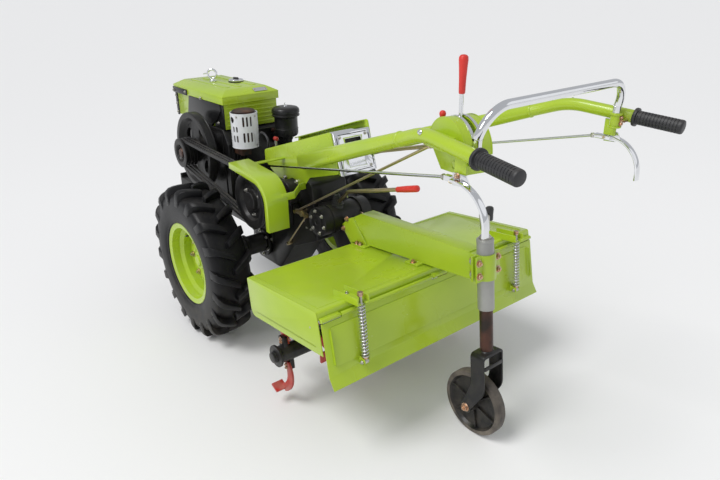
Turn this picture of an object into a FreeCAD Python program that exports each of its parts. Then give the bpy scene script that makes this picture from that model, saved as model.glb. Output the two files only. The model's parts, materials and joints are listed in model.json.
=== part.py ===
import FreeCAD, Part
import math
import os
import Sketcher

# Walking tractor with a mounted rotary tiller, standing on its two drive wheels and its tail wheel.
# Millimetres. X points forward, Y to the left, Z up; the ground is Z = 0.
# Every sub-part is drawn with the axle over X = 0 and then moved by axle_x, which puts the origin
# under the middle of the whole machine.

doc = FreeCAD.newDocument("WalkingTractor")
sheet = doc.addObject("Spreadsheet::Sheet", "Sizes")

# name, value
table = [
    ("axle_x", 426),
    ("tread", 758),
    # drive wheels
    ("tyre_radius", 320), ("lug_depth", 26), ("tyre_width", 164), ("bead_radius", 152.4),
    ("rim_radius", 171), ("rim_half_width", 66), ("rim_wall", 5), ("rim_well", 135),
    ("disc_inset", 12), ("disc_wall", 7), ("hub_radius", 46), ("hub_length", 74),
    ("lugs_a_side", 18), ("lug_width", 30), ("lug_sweep", 40),
    # gearbox and axle
    ("gearbox_half_width", 80), ("gearbox_top", 675), ("gearbox_front", 105), ("gearbox_bottom", 232),
    ("axle_case_radius", 42), ("axle_case_end", 290), ("axle_radius", 22), ("axle_bearing", 60),
    ("running_gap", 0.05),
    # engine and its frame
    ("rail_front", 640), ("rail_rear", -60), ("rail_bottom", 430), ("rail_height", 50),
    ("rail_width", 40), ("rail_spacing", 300), ("front_plate", 10), ("front_bolt", 8.5),
    ("cross_bar_x", 260), ("cross_bar_width", 60),
    ("front_bolt_spacing_y", 240), ("front_bolt_spacing_z", 36),
    ("engine_front", 625), ("engine_rear", 150), ("engine_half_width", 140), ("engine_top", 790),
    ("lid_top", 952), ("lid_skirt", 34), ("lid_bevel_run", 40), ("lid_bevel_rise", 22), ("lid_front", 674),
    ("lid_rear", 170), ("lid_half_width", 137), ("lid_overhang", 8), ("tank_wall", 4), ("shroud_front", 505),
    ("crank_x", 330), ("crank_z", 686), ("flywheel_radius", 168), ("flywheel_inner", 182),
    ("flywheel_width", 42), ("pulley_radius", 52), ("pulley_end", 284), ("belt_height", 11),
    ("crank_radius", 24), ("flywheel_windows", 4), ("window_radius", 30), ("window_circle", 96),
    ("clutch_x", -265), ("clutch_z", 622), ("clutch_radius", 95), ("clutch_shaft", 26),
    ("belt_inner", 232), ("belt_outer", 278), ("belt_gap", 0.3),
    ("muffler_x", 78), ("muffler_y", 92), ("muffler_bottom", 734), ("muffler_top", 890),
    ("muffler_radius", 46), ("cage_radius", 56), ("cage_wall", 2.5), ("cage_top", 878),
    ("filter_x", 60), ("filter_y", -100), ("filter_bottom", 752), ("filter_top", 884),
    ("filter_radius", 50), ("filter_cap_radius", 60), ("filter_cap_height", 44),
    ("eye_x", 462), ("eye_y", 32), ("eye_radius", 20), ("eye_bar", 5), ("eye_stem", 14), ("eye_turn", 50),
    ("cap_x", 381), ("cap_y", -44), ("cap_radius", 34), ("cap_height", 20),
    # belt guard
    ("guard_inner", 207), ("guard_outer", 292), ("guard_wall", 3), ("guard_front", -150),
    ("guard_top", 748), ("guard_fall", 20), ("guard_rear", -420), ("guard_bottom", 545), ("guard_bend", 95),
    ("guard_flange", 22), ("strap_width", 26),
    # handle frame
    ("plate_wall", 4), ("bracket_flange", 28), ("bracket_front", -60), ("bracket_rear", -520),
    ("bracket_low", 71), ("bracket_high", 220), ("bracket_foot", 30),
    ("arm_front_x", -362), ("arm_front_z", 760), ("arm_half_width", 17), ("arm_front_height", 66),
    ("weld_x", -1076), ("weld_y", 265), ("weld_z", 1003), ("arm_rear_half", 19),
    ("bend_x", -1185), ("bend_y", 290), ("bend_z", 1040), ("handle_bend", 220), ("tube_radius", 17.5),
    ("grip_end_x", -1498), ("grip_end_y", 334), ("grip_end_z", 1012),
    ("grip_radius", 19), ("grip_length", 128), ("grip_flange", 25), ("grip_flange_length", 8),
    ("hoop_x", -1338), ("hoop_half_width", 281.5), ("hoop_foot", 1000), ("hoop_top", 1122),
    ("hoop_radius", 11), ("hoop_bend", 75), ("hoop_lean", 20), ("sleeve_radius", 14.5), ("sleeve_bottom", 994),
    ("sleeve_height", 40),
    ("drum_x", -1237), ("drum_y", 226), ("drum_z", 1003), ("drum_radius", 78), ("drum_half_width", 38),
    ("sheet", 3), ("slot_half_width", 6.5), ("slot_reach", 60),
    ("lever_rise", 136), ("lever_radius", 5), ("lever_grip_length", 86), ("lever_grip_radius", 11),
    ("gate_x", -530), ("gate_bottom", 748), ("gate_top", 892), ("gate_depth", 22), ("gate_lean", 0.32),
    # controls on the handles and their rods
    ("pivot_x", -1312), ("pivot_z", 958), ("pivot_y", 306), ("squeeze_x", -1402), ("squeeze_z", 852),
    ("squeeze_half_width", 9), ("squeeze_wall", 6), ("rod_radius", 4), ("clevis_length", 48),
    ("rod_front_x", -95), ("rod_front_y", 100), ("rod_front_z", 688),
    ("brace_x", -528), ("brace_z", 813),
    ("crank_pivot_x", -335), ("crank_pivot_z", 549), ("crank_arm", 42),
    ("gear_x", 153), ("gear_y", 22), ("boot_radius", 24), ("boot_height", 38), ("gear_radius", 7),
    ("gear_bend_x", 72), ("gear_bend_y", 26), ("gear_bend_z", 470),
    ("gear_end_x", -302), ("gear_end_y", 34), ("gear_end_z", 536), ("gear_grip_length", 102),
    # tiller, measured from the rotor's axis in a frame that leans nose down by tiller_pitch
    ("rotor_x", -661), ("rotor_z", 214), ("tiller_pitch", 6),
    ("hood_front", 63), ("hood_rear", -336), ("hood_top", 281), ("hood_half_width", 472),
    ("sheet_wall", 3), ("front_lip", 34), ("rear_lip", 27), ("side_bottom", 147),
    ("drive_x", 170), ("drive_z", 357), ("drive_radius", 55), ("drive_half_width", 108),
    ("case_radius", 50), ("case_half_width", 28), ("neck_half_width", 60), ("neck_front", 226),
    ("neck_half_height", 52),
    ("rotor_shaft", 18), ("rotor_tube", 30), ("rotor_half_length", 440), ("case_gap", 5),
    ("blade_radius", 168), ("blade_wall", 8), ("blade_foot", 42), ("holder_radius", 62),
    ("beam_front_height", 113), ("beam_rear_height", 86), ("beam_half_width", 28), ("beam_rear", -500),
    ("beam_nose", 108), ("cheek_wall", 5), ("cheek_front", 124),
    ("foot_height", 6), ("foot_half_width", 52),
    ("hinge_x", -345), ("hinge_z", 254), ("hinge_pin", 3), ("knuckle", 6.5),
    ("fold_x", -360), ("fold_z", 82), ("lip_x", -378), ("lip_z", 46), ("flap_margin", 6), ("hinge_end", 66),
    ("hinge_middle", 30), ("hinge_gap", 5), ("panel_clearance", 7),
    ("spring_x", -378), ("spring_inset", 126), ("spring_eye_z", 96), ("spring_rod", 5),
    ("guide_slot", 8.5), ("guide_wall", 4), ("guide_reach", 14), ("spring_radius", 12.5),
    ("post_x", -537), ("post_radius", 25), ("post_bottom", 193), ("post_top", 415),
    ("inner_post_radius", 20), ("fork_top", 52), ("fork_half_width", 46), ("fork_wall", 6), ("fork_reach", 26),
    ("crown_wall", 10), ("fork_bend", 14), ("hub_round", 20),
    ("tail_x", -1160), ("tail_radius", 112), ("tail_half_width", 18), ("tail_axle", 8),
    ("clamp_bottom", 292), ("clamp_height", 78), ("clamp_wall", 6), ("clamp_half_width", 50), ("ear_gap", 5),
    ("crank_top", 508), ("knob_radius", 12), ("knob_length", 42),
]


class Size:
    # A number that also knows its formula, so that plain arithmetic gives an expression to bind.
    def __init__(self, number, text):
        self.number = float(number)
        self.text = text

    def __add__(self, other):
        other = sized(other)
        return Size(self.number + other.number, f"({self.text} + {other.text})")

    def __sub__(self, other):
        other = sized(other)
        return Size(self.number - other.number, f"({self.text} - {other.text})")

    def __mul__(self, other):
        other = sized(other)
        return Size(self.number * other.number, f"({self.text} * {other.text})")

    def __truediv__(self, other):
        other = sized(other)
        return Size(self.number / other.number, f"({self.text} / {other.text})")

    def __rsub__(self, other):
        return sized(other) - self

    def __neg__(self):
        return Size(-self.number, f"(-{self.text})")

    def __float__(self):
        return self.number

    __radd__ = __add__
    __rmul__ = __mul__


def sized(value):
    return value if isinstance(value, Size) else Size(value, repr(float(value)))


def sine(angle):
    return Size(math.sin(math.radians(angle.number)), f"sin({angle.text} * 1 deg)")


def cosine(angle):
    return Size(math.cos(math.radians(angle.number)), f"cos({angle.text} * 1 deg)")


class Named:
    pass


s = Named()
for row, (alias, value) in enumerate(table, start=1):
    sheet.set(f"A{row}", alias)
    sheet.set(f"B{row}", str(value))
    sheet.setAlias(f"B{row}", alias)
    setattr(s, alias, Size(value, f"Sizes.{alias}"))
doc.recompute()

finished = []


def bind(thing, prop, value):
    thing.setExpression(prop, sized(value).text)


def put(thing, x=0, y=0, z=0):
    for axis, value in zip("xyz", (x, y, z)):
        bind(thing, f"Placement.Base.{axis}", value)


def box(name, x, y, z):
    # Each of x, y and z is a pair: where the box starts and where it ends.
    piece = doc.addObject("Part::Box", name)
    for prop, (low, high) in zip(("Length", "Width", "Height"), (x, y, z)):
        bind(piece, prop, sized(high) - low)
    put(piece, x[0], y[0], z[0])
    return piece


turns = {
    "X": FreeCAD.Rotation(FreeCAD.Vector(0, 1, 0), 90),
    "Y": FreeCAD.Rotation(FreeCAD.Vector(1, 0, 0), -90),
    "Z": FreeCAD.Rotation(),
}


def cylinder(name, radius, span, axis, across):
    # span: where it starts and ends along its axis; across: the two other coordinates in order.
    piece = doc.addObject("Part::Cylinder", name)
    piece.Placement.Rotation = turns[axis]
    bind(piece, "Radius", radius)
    bind(piece, "Height", sized(span[1]) - span[0])
    place = dict(zip([a for a in "XYZ" if a != axis], across))
    place[axis] = span[0]
    put(piece, place["X"], place["Y"], place["Z"])
    return piece


def fuse(name, *pieces):
    piece = doc.addObject("Part::MultiFuse", name)
    piece.Shapes = list(pieces)
    return piece


def cut(name, base, *tools):
    piece = doc.addObject("Part::Cut", name)
    piece.Base = base
    piece.Tool = tools[0] if len(tools) == 1 else fuse(f"{name}_tools", *tools)
    return piece


def origin_plane(body, role):
    return next(item for item in body.Origin.OriginFeatures if item.Role == role)


def sketch_on(body, role, offset=0):
    sketch = body.newObject("Sketcher::SketchObject", f"{body.Name}_sketch")
    sketch.AttachmentSupport = [(origin_plane(body, role), "")]
    sketch.MapMode = "FlatFace"
    bind(sketch, "AttachmentOffset.Base.z", offset)
    return sketch


def outline(sketch, corners):
    # A closed outline through corners (u, v) or, rounded, (u, v, radius), each bound to the sheet.
    count = len(corners)
    points = [FreeCAD.Vector(float(c[0]), float(c[1]), 0) for c in corners]
    radii = [float(c[2]) if len(c) > 2 else 0.0 for c in corners]
    starts, ends = [], []
    for i, point in enumerate(points):
        back = (points[i - 1] - point).normalize()
        ahead = (points[(i + 1) % count] - point).normalize()
        run = radii[i] / math.tan(back.getAngle(ahead) / 2) if radii[i] else 0.0
        ends.append(point + back * run)
        starts.append(point + ahead * run)
    lines = []
    for i in range(count):
        lines.append(sketch.addGeometry(Part.LineSegment(starts[i], ends[(i + 1) % count])))
    add = sketch.addConstraint
    for i, corner in enumerate(corners):
        before, after = lines[i - 1], lines[i]
        if radii[i]:
            mark = sketch.addGeometry(Part.Point(points[i]), True)
            add(Sketcher.Constraint("PointOnObject", mark, 1, before))
            add(Sketcher.Constraint("PointOnObject", mark, 1, after))
            middle = (ends[i] + starts[i]) * 0.5
            inward = (middle - points[i]).normalize()
            half = (ends[i] - starts[i]).Length / 2
            reach = (middle - points[i]).Length
            centre = middle + inward * (half * half / reach)
            arc, first, last = rounding(sketch, centre, radii[i], ends[i], starts[i])
            add(Sketcher.Constraint("Tangent", before, 2, arc, first))
            add(Sketcher.Constraint("Tangent", after, 1, arc, last))
            hold = add(Sketcher.Constraint("Radius", arc, radii[i]))
            sketch.setExpression(f"Constraints[{hold}]", sized(corner[2]).text)
            vertex = (mark, 1)
        else:
            add(Sketcher.Constraint("Coincident", before, 2, after, 1))
            vertex = (after, 1)
        for kind, value in (("DistanceX", corner[0]), ("DistanceY", corner[1])):
            hold = add(Sketcher.Constraint(kind, -1, 1, vertex[0], vertex[1], float(value)))
            sketch.setExpression(f"Constraints[{hold}]", sized(value).text)


def rounding(sketch, centre, radius, enter, leave):
    # An arc in a sketch always runs anticlockwise, so its ends are named by how it turns here.
    first, last = enter - centre, leave - centre
    swapped = first.cross(last).z < 0
    if swapped:
        first, last = last, first
    low, high = math.atan2(first.y, first.x), math.atan2(last.y, last.x)
    circle = Part.Circle(centre, FreeCAD.Vector(0, 0, 1), radius)
    arc = sketch.addGeometry(Part.ArcOfCircle(circle, low, high if high > low else high + 2 * math.pi))
    return (arc, 2, 1) if swapped else (arc, 1, 2)


def slab(name, corners, span, role="XZ_Plane"):
    # A plate with the given outline, from span[0] to span[1] along the outline's normal.
    body = doc.addObject("PartDesign::Body", name)
    low, high = sized(span[0]), sized(span[1])
    sketch = sketch_on(body, role, -high if role == "XZ_Plane" else low)
    outline(sketch, corners)
    pad = body.newObject("PartDesign::Pad", f"{name}_pad")
    pad.Profile = sketch
    bind(pad, "Length", high - low)
    sketch.Visibility = False
    return body


def turned(name, corners):
    # A body of revolution about Y; corners are (y, radius).
    body = doc.addObject("PartDesign::Body", name)
    sketch = sketch_on(body, "YZ_Plane")
    outline(sketch, corners)
    spin = body.newObject("PartDesign::Revolution", f"{name}_turn")
    spin.Profile = sketch
    spin.ReferenceAxis = (sketch, ["H_Axis"])
    spin.Angle = 360
    return body


def bent_path(points, radii):
    # Straight runs joined by tangent arcs through points in space.
    points = [FreeCAD.Vector(*[float(c) for c in p]) for p in points]
    edges = []
    last = points[0]
    for i in range(1, len(points) - 1):
        back = (points[i - 1] - points[i]).normalize()
        ahead = (points[i + 1] - points[i]).normalize()
        radius = float(radii[i - 1])
        run = radius / math.tan(back.getAngle(ahead) / 2)
        enter, leave = points[i] + back * run, points[i] + ahead * run
        middle = (enter + leave) * 0.5
        inward = (middle - points[i]).normalize()
        half = (enter - leave).Length / 2
        centre = middle + inward * (half * half / (middle - points[i]).Length)
        edges.append(Part.LineSegment(last, enter).toShape())
        edges.append(Part.Arc(enter, centre - inward * radius, leave).toShape())
        last = leave
    edges.append(Part.LineSegment(last, points[-1]).toShape())
    return Part.Wire(edges)


def bent_bar(points, radii, radius, bore=0):
    path = bent_path(points, radii)
    start = path.Edges[0].Curve.value(path.Edges[0].FirstParameter)
    ahead = path.Edges[0].tangentAt(path.Edges[0].FirstParameter)

    def sweep(size):
        ring = Part.Wire([Part.Circle(start, ahead, float(size)).toShape()])
        return path.makePipeShell([ring], True, False)

    solid = sweep(radius)
    return solid.cut(sweep(bore)) if float(bore) else solid


def shaped(name, shape):
    piece = doc.addObject("Part::Feature", name)
    piece.Shape = shape
    return piece


def finish(label, piece, tiller=False, move=True):
    # Gives a sub-part its name and its place in the machine.
    piece.Label = label
    if move:
        if tiller:
            piece.Placement.Rotation = FreeCAD.Rotation(FreeCAD.Vector(0, 1, 0), 1)
            bind(piece, "Placement.Rotation.Angle", s.tiller_pitch)
            put(piece, s.axle_x + s.rotor_x, 0, s.rotor_z)
        else:
            put(piece, s.axle_x, 0, 0)
    finished.append(piece)
    return piece


# Drive wheels

wheel_z = s.tyre_radius
half_tread = s.tread / 2


def make_tyre():
    carcass_radius = s.tyre_radius - s.lug_depth
    side = s.tyre_width / 2
    bead = s.rim_half_width - s.rim_wall
    carcass = turned("tyre_carcass", [
        (-bead, s.bead_radius), (-bead, s.rim_radius + 2, 8), (-side, s.rim_radius + 62, 60),
        (-side + 8, carcass_radius - 6, 20), (side - 8, carcass_radius - 6, 20),
        (side, s.rim_radius + 62, 60), (bead, s.rim_radius + 2, 8), (bead, s.bead_radius),
    ])
    doc.recompute()
    # Each lug is a bar that runs from the shoulder to the middle, slanted back, and its top is round.
    count = int(s.lugs_a_side.number)
    outer, inner = s.tyre_radius.number, carcass_radius.number - 22
    width, sweep, reach = s.lug_width.number, s.lug_sweep.number, side.number - 2
    drum = Part.makeCylinder(outer, s.tyre_width.number, FreeCAD.Vector(0, -side.number, 0),
                             FreeCAD.Vector(0, 1, 0))
    bars = []
    for way in (-1, 1):
        corners = [(0, way * -4), (sweep, way * reach), (sweep + width, way * reach),
                   (width * 0.8, way * -4)]
        face = Part.Face(Part.makePolygon([FreeCAD.Vector(x, y, inner) for x, y in corners + corners[:1]]))
        bar = face.extrude(FreeCAD.Vector(0, 0, outer - inner + 5)).common(drum)
        for i in range(count):
            angle = 360 * (i + (0.5 if way > 0 else 0)) / count
            copy = bar.copy()
            copy.rotate(FreeCAD.Vector(), FreeCAD.Vector(0, 1, 0), angle)
            bars.append(copy)
    return carcass.Shape.multiFuse(bars)


tyre_shape = make_tyre()


def make_rim():
    half, wall = s.rim_half_width, s.rim_wall
    seat, well = s.bead_radius, s.rim_well
    barrel = turned("rim_barrel", [
        (-half, s.rim_radius), (-half + wall, s.rim_radius), (-half + wall, seat), (-34, seat), (-22, well),
        (22, well), (34, seat), (half - wall, seat), (half - wall, s.rim_radius), (half, s.rim_radius),
        (half, seat - wall), (36, seat - wall), (24, well - wall), (-24, well - wall),
        (-36, seat - wall), (-half, seat - wall),
    ])
    disc = turned("rim_disc", [
        (-s.disc_inset, s.axle_radius), (-s.disc_inset, well - wall),
        (-s.disc_inset + s.disc_wall, well - wall),
        (-s.disc_inset + s.disc_wall, s.hub_radius + 34), (6, s.hub_radius + 18), (6, s.axle_radius),
    ])
    hub = cylinder("rim_hub", s.hub_radius, (-s.hub_length, 10), "Y", (0, 0))
    shaft = cylinder("wheel_shaft", s.axle_radius,
                     (s.axle_case_end - s.axle_bearing - half_tread, -s.hub_length + 1), "Y", (0, 0))
    return fuse("rim_fused", barrel, disc, hub, shaft)


rim = make_rim()
doc.recompute()
for side, way in (("left", 1), ("right", -1)):
    turn = FreeCAD.Rotation(FreeCAD.Vector(0, 0, 1), 0 if way > 0 else 180)
    tyre = shaped(f"tyre_{side}_shape", tyre_shape if way > 0 else tyre_shape.mirror(
        FreeCAD.Vector(), FreeCAD.Vector(0, 1, 0)))
    wheel = shaped(f"rim_{side}_shape", rim.Shape if way > 0 else rim.Shape.mirror(
        FreeCAD.Vector(), FreeCAD.Vector(0, 1, 0)))
    for label, piece in ((f"tyre_{side}", tyre), (f"rim_{side}", wheel)):
        finish(label, piece, move=False)
        put(piece, s.axle_x, way * half_tread, wheel_z)

# Gearbox with the axle housings


def lean_x(z):
    # The gearbox's rear face stands square to the tiller, so it leans with it.
    lean, turn = sine(s.tiller_pitch), cosine(s.tiller_pitch)
    return s.rotor_x + (s.neck_front + (z - s.rotor_z) * lean) / turn


seat_z = s.rail_bottom - 12
gear_case = slab("gear_case", [
    (s.gearbox_front, s.gearbox_bottom + 30, 30), (s.gearbox_front, seat_z - 33, 40),
    (s.gearbox_front - 65, seat_z),
    (s.rail_rear - 12, seat_z), (s.rail_rear - 12, s.gearbox_top - 90, 30),
    (s.rail_rear - 105, s.gearbox_top, 30), (lean_x(s.gearbox_top), s.gearbox_top, 20),
    (lean_x(seat_z + 34), seat_z + 34, 12), (lean_x(seat_z) + 180, seat_z - 46, 40),
    (lean_x(seat_z) + 295, s.gearbox_bottom, 40), (s.gearbox_front - 45, s.gearbox_bottom, 30),
], (-s.gearbox_half_width, s.gearbox_half_width))
axle_case = cylinder("axle_case", s.axle_case_radius, (-s.axle_case_end, s.axle_case_end), "Y", (0, wheel_z))
bearings = [
    cylinder(f"axle_bore_{i}", s.axle_radius + s.running_gap, span, "Y", (0, wheel_z))
    for i, span in enumerate([(s.axle_case_end - s.axle_bearing - 4, s.axle_case_end + 1),
                              (-s.axle_case_end - 1, -s.axle_case_end + s.axle_bearing + 4)])
]
clutch_bearing = cylinder("clutch_bore", s.clutch_shaft + s.running_gap,
                          (s.gearbox_half_width - 30, s.gearbox_half_width + 60), "Y", (s.clutch_x, s.clutch_z))
clutch_boss = cylinder("clutch_boss", s.clutch_shaft + 22,
                       (s.gearbox_half_width - 5, s.gearbox_half_width + 50),
                       "Y", (s.clutch_x, s.clutch_z))
gearbox = finish("gearbox", cut("gearbox", fuse("gearbox_solid", gear_case, axle_case, clutch_boss),
                                clutch_bearing, *bearings))

# Engine frame

half_rails = s.rail_spacing / 2
rail_top = s.rail_bottom + s.rail_height
rails = [
    box(f"rail_{side}", (s.rail_rear, s.rail_front),
        (way * half_rails - s.rail_width / 2, way * half_rails + s.rail_width / 2), (s.rail_bottom, rail_top))
    for side, way in (("left", 1), ("right", -1))
]
front_plate = box("front_plate", (s.rail_front, s.rail_front + s.front_plate),
                  (-half_rails - s.rail_width / 2, half_rails + s.rail_width / 2),
                  (s.rail_bottom - 20, rail_top + 20))
rear_plate = box("rear_plate", (s.rail_rear - 12, s.rail_rear),
                 (-half_rails - s.rail_width / 2, half_rails + s.rail_width / 2),
                 (s.rail_bottom - 12, rail_top))
cross_bar = box("cross_bar", (s.cross_bar_x, s.cross_bar_x + s.cross_bar_width), (-half_rails, half_rails),
                (s.rail_bottom, s.rail_bottom + s.rail_height * 0.6))
front_holes = [
    cylinder(f"front_hole_{i}", s.front_bolt, (s.rail_front - 30, s.rail_front + s.front_plate + 1), "X",
             (y * s.front_bolt_spacing_y / 2,
              (s.rail_bottom + s.rail_height / 2) + z * s.front_bolt_spacing_z / 2))
    for i, (y, z) in enumerate([(-1, -1), (-1, 1), (1, -1), (1, 1)])
]
finish("engine_frame", cut("engine_frame", fuse("frame_welded", *rails, front_plate, rear_plate, cross_bar),
                           *front_holes))

# Engine

block = slab("engine_block_body", [
    (s.engine_rear, rail_top), (s.engine_rear, s.engine_top - 60, 10), (s.engine_rear + 40, s.engine_top),
    (s.engine_front, s.engine_top), (s.engine_front, rail_top + 80, 30), (s.engine_front - 70, rail_top),
], (-s.engine_half_width, s.engine_half_width))
crank_bore = cylinder("crank_bore", s.crank_radius + s.running_gap, (s.engine_half_width - 60, 200), "Y",
                      (s.crank_x, s.crank_z))
finish("engine_block", cut("engine_block", block, crank_bore))

lid_bottom = s.lid_top - s.lid_skirt - s.lid_bevel_rise
lid_edge = s.lid_top - s.lid_bevel_rise
tank_half = s.lid_half_width - s.lid_overhang
tank = box("tank", (s.lid_rear + s.lid_overhang, s.lid_front - s.lid_overhang), (-tank_half, tank_half),
           (s.engine_top, lid_bottom))
lid = doc.addObject("Part::Wedge", "lid")
run = s.lid_bevel_run
for prop, value in (
    ("Xmin", s.lid_rear), ("Xmax", s.lid_front), ("Ymin", 0), ("Ymax", s.lid_bevel_rise),
    ("Zmin", -s.lid_half_width), ("Zmax", s.lid_half_width), ("X2min", s.lid_rear + run),
    ("X2max", s.lid_front - run), ("Z2min", -s.lid_half_width + run), ("Z2max", s.lid_half_width - run),
):
    bind(lid, prop, value)
lid.Placement.Rotation = FreeCAD.Rotation(FreeCAD.Vector(1, 0, 0), 90)
put(lid, 0, 0, lid_edge)
skirt = box("skirt", (s.lid_rear, s.lid_front), (-s.lid_half_width, s.lid_half_width), (lid_bottom, lid_edge))
tank_room = box("tank_room",
                (s.lid_rear + s.lid_overhang + s.tank_wall, s.lid_front - s.lid_overhang - s.tank_wall),
                (-tank_half + s.tank_wall, tank_half - s.tank_wall),
                (s.engine_top - 1, lid_bottom - s.tank_wall))
finish("engine_cover", cut("engine_cover", fuse("cover_fused", tank, skirt, lid), tank_room))

# Black plate over the cover's left side, behind the flywheel
shroud_top = lid_bottom - 0.5
shroud_foot = s.engine_top + 0.5
shroud_rear = s.lid_rear + s.lid_overhang
shroud_rear_plate = slab("shroud_rear_plate", [
    (shroud_rear, shroud_top), (shroud_rear + 90, shroud_top), (shroud_rear + 90, shroud_foot),
    (shroud_rear, shroud_foot),
], (tank_half, tank_half + s.plate_wall))
shroud_front_plate = slab("shroud_front_plate", [
    (shroud_rear + 22, shroud_top), (s.shroud_front, shroud_top), (s.shroud_front + 36, shroud_foot),
    (shroud_rear + 120, shroud_foot), (shroud_rear + 56, shroud_top - 66, 20),
    (shroud_rear + 14, shroud_top - 26, 10),
], (tank_half, tank_half + s.plate_wall * 2.5))
finish("shroud_plate", fuse("shroud_plate", shroud_rear_plate, shroud_front_plate))

eye_ring = doc.addObject("Part::Torus", "eye_ring")
bind(eye_ring, "Radius1", s.eye_radius)
bind(eye_ring, "Radius2", s.eye_bar)
eye_ring.Placement.Rotation = FreeCAD.Rotation(FreeCAD.Vector(0, 0, 1), s.eye_turn.number).multiply(turns["Y"])
put(eye_ring, s.eye_x, s.eye_y, s.lid_top + s.eye_stem + s.eye_radius)
eye_stem = cylinder("eye_stem", s.eye_bar, (s.lid_top, s.lid_top + s.eye_stem), "Z", (s.eye_x, s.eye_y))
finish("lifting_eye", fuse("lifting_eye", eye_ring, eye_stem))
cap_neck = cylinder("cap_neck", s.cap_radius - 8, (s.lid_top, s.lid_top + 6), "Z", (s.cap_x, s.cap_y))
cap_top = cylinder("cap_top", s.cap_radius, (s.lid_top + 6, s.lid_top + s.cap_height), "Z", (s.cap_x, s.cap_y))
finish("fuel_cap", fuse("fuel_cap", cap_neck, cap_top))

muffler_body = cylinder("muffler_body", s.muffler_radius, (s.muffler_bottom, s.muffler_top - 6), "Z",
                        (s.muffler_x, s.muffler_y))
muffler_pipe = box("muffler_pipe", (s.muffler_x, s.engine_rear),
                   (s.muffler_y - 22, s.muffler_y + 22), (s.muffler_bottom - 40, s.muffler_bottom))
finish("muffler", fuse("muffler", muffler_body, muffler_pipe))
cage_outer = cylinder("cage_outer", s.cage_radius, (s.muffler_bottom, s.cage_top), "Z",
                      (s.muffler_x, s.muffler_y))
cage_inner = cylinder("cage_inner", s.cage_radius - s.cage_wall, (s.muffler_bottom + 3, s.cage_top + 1), "Z",
                      (s.muffler_x, s.muffler_y))
cage_floor = cylinder("cage_floor", s.muffler_radius + 0.3, (s.muffler_bottom - 1, s.muffler_bottom + 4), "Z",
                      (s.muffler_x, s.muffler_y))
# slots of the guard: turn round its axis, bottom, height
cage_slots = []
for i, (turn, low, tall) in enumerate([
    (150, 78, 42), (162, 78, 42), (174, 78, 42), (150, 22, 40), (162, 22, 40), (174, 22, 40),
    (100, 60, 24), (88, 60, 24), (100, 22, 26), (88, 22, 26), (225, 22, 42), (237, 22, 42),
]):
    slot = box(f"cage_slot_{i}", (s.cage_radius - 8, s.cage_radius + 4), (-2.5, 2.5),
               (s.muffler_bottom + low, s.muffler_bottom + low + tall))
    slot.Placement.Rotation = FreeCAD.Rotation(FreeCAD.Vector(0, 0, 1), turn)
    angle = sized(turn)
    put(slot, s.muffler_x + (s.cage_radius - 8) * cosine(angle),
        s.muffler_y + (s.cage_radius - 8) * sine(angle),
        s.muffler_bottom + low)
    cage_slots.append(slot)
cage_window = cylinder("cage_window", 15, (s.muffler_y, s.muffler_y + s.cage_radius + 5), "Y",
                       (s.muffler_x + 34, s.cage_top - 26))
finish("muffler_guard", cut("muffler_guard", cage_outer, cage_inner, cage_floor, cage_window, *cage_slots))

filter_body = cylinder("filter_body", s.filter_radius, (s.filter_bottom, s.filter_top - 2), "Z",
                       (s.filter_x, s.filter_y))
filter_cap = cylinder("filter_cap", s.filter_cap_radius,
                      (s.filter_top - s.filter_cap_height, s.filter_top), "Z",
                      (s.filter_x, s.filter_y))
filter_pipe = box("filter_pipe", (s.filter_x, s.engine_rear), (s.filter_y - 24, s.filter_y + 24),
                  (s.filter_bottom - 44, s.filter_bottom))
finish("air_cleaner", fuse("air_cleaner", filter_body, filter_cap, filter_pipe))

flywheel = turned("flywheel_wheel", [
    (s.flywheel_inner, 0), (s.flywheel_inner, s.flywheel_radius),
    (s.flywheel_inner + s.flywheel_width, s.flywheel_radius),
    (s.flywheel_inner + s.flywheel_width, s.flywheel_radius - 26),
    (s.flywheel_inner + 16, s.flywheel_radius - 34),
    (s.flywheel_inner + 16, 50), (s.belt_inner - 4, s.pulley_radius), (s.belt_inner - 4, s.pulley_radius + 12),
    (s.belt_inner - 0.3, s.pulley_radius + 12), (s.belt_inner - 0.3, s.pulley_radius),
    (s.belt_outer + 0.3, s.pulley_radius), (s.belt_outer + 0.3, s.pulley_radius + 12),
    (s.pulley_end, s.pulley_radius + 12), (s.pulley_end, 30), (s.pulley_end - 16, 26), (s.pulley_end - 16, 0),
])
put(flywheel, s.crank_x, 0, s.crank_z)
crank = cylinder("crank_shaft", s.crank_radius, (s.engine_half_width - 50, s.flywheel_inner + 2), "Y",
                 (s.crank_x, s.crank_z))
windows = []
for i in range(int(s.flywheel_windows.number)):
    angle = Size(90 + 360 * i / s.flywheel_windows.number, f"(90 + {360 * i} / {s.flywheel_windows.text})")
    windows.append(cylinder(
        f"flywheel_window_{i}", s.window_radius,
        (s.flywheel_inner - 1, s.flywheel_inner + s.flywheel_width + 1), "Y",
        (s.crank_x + s.window_circle * cosine(angle), s.crank_z + s.window_circle * sine(angle))))
finish("flywheel", cut("flywheel", fuse("flywheel_fused", flywheel, crank), *windows))

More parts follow.
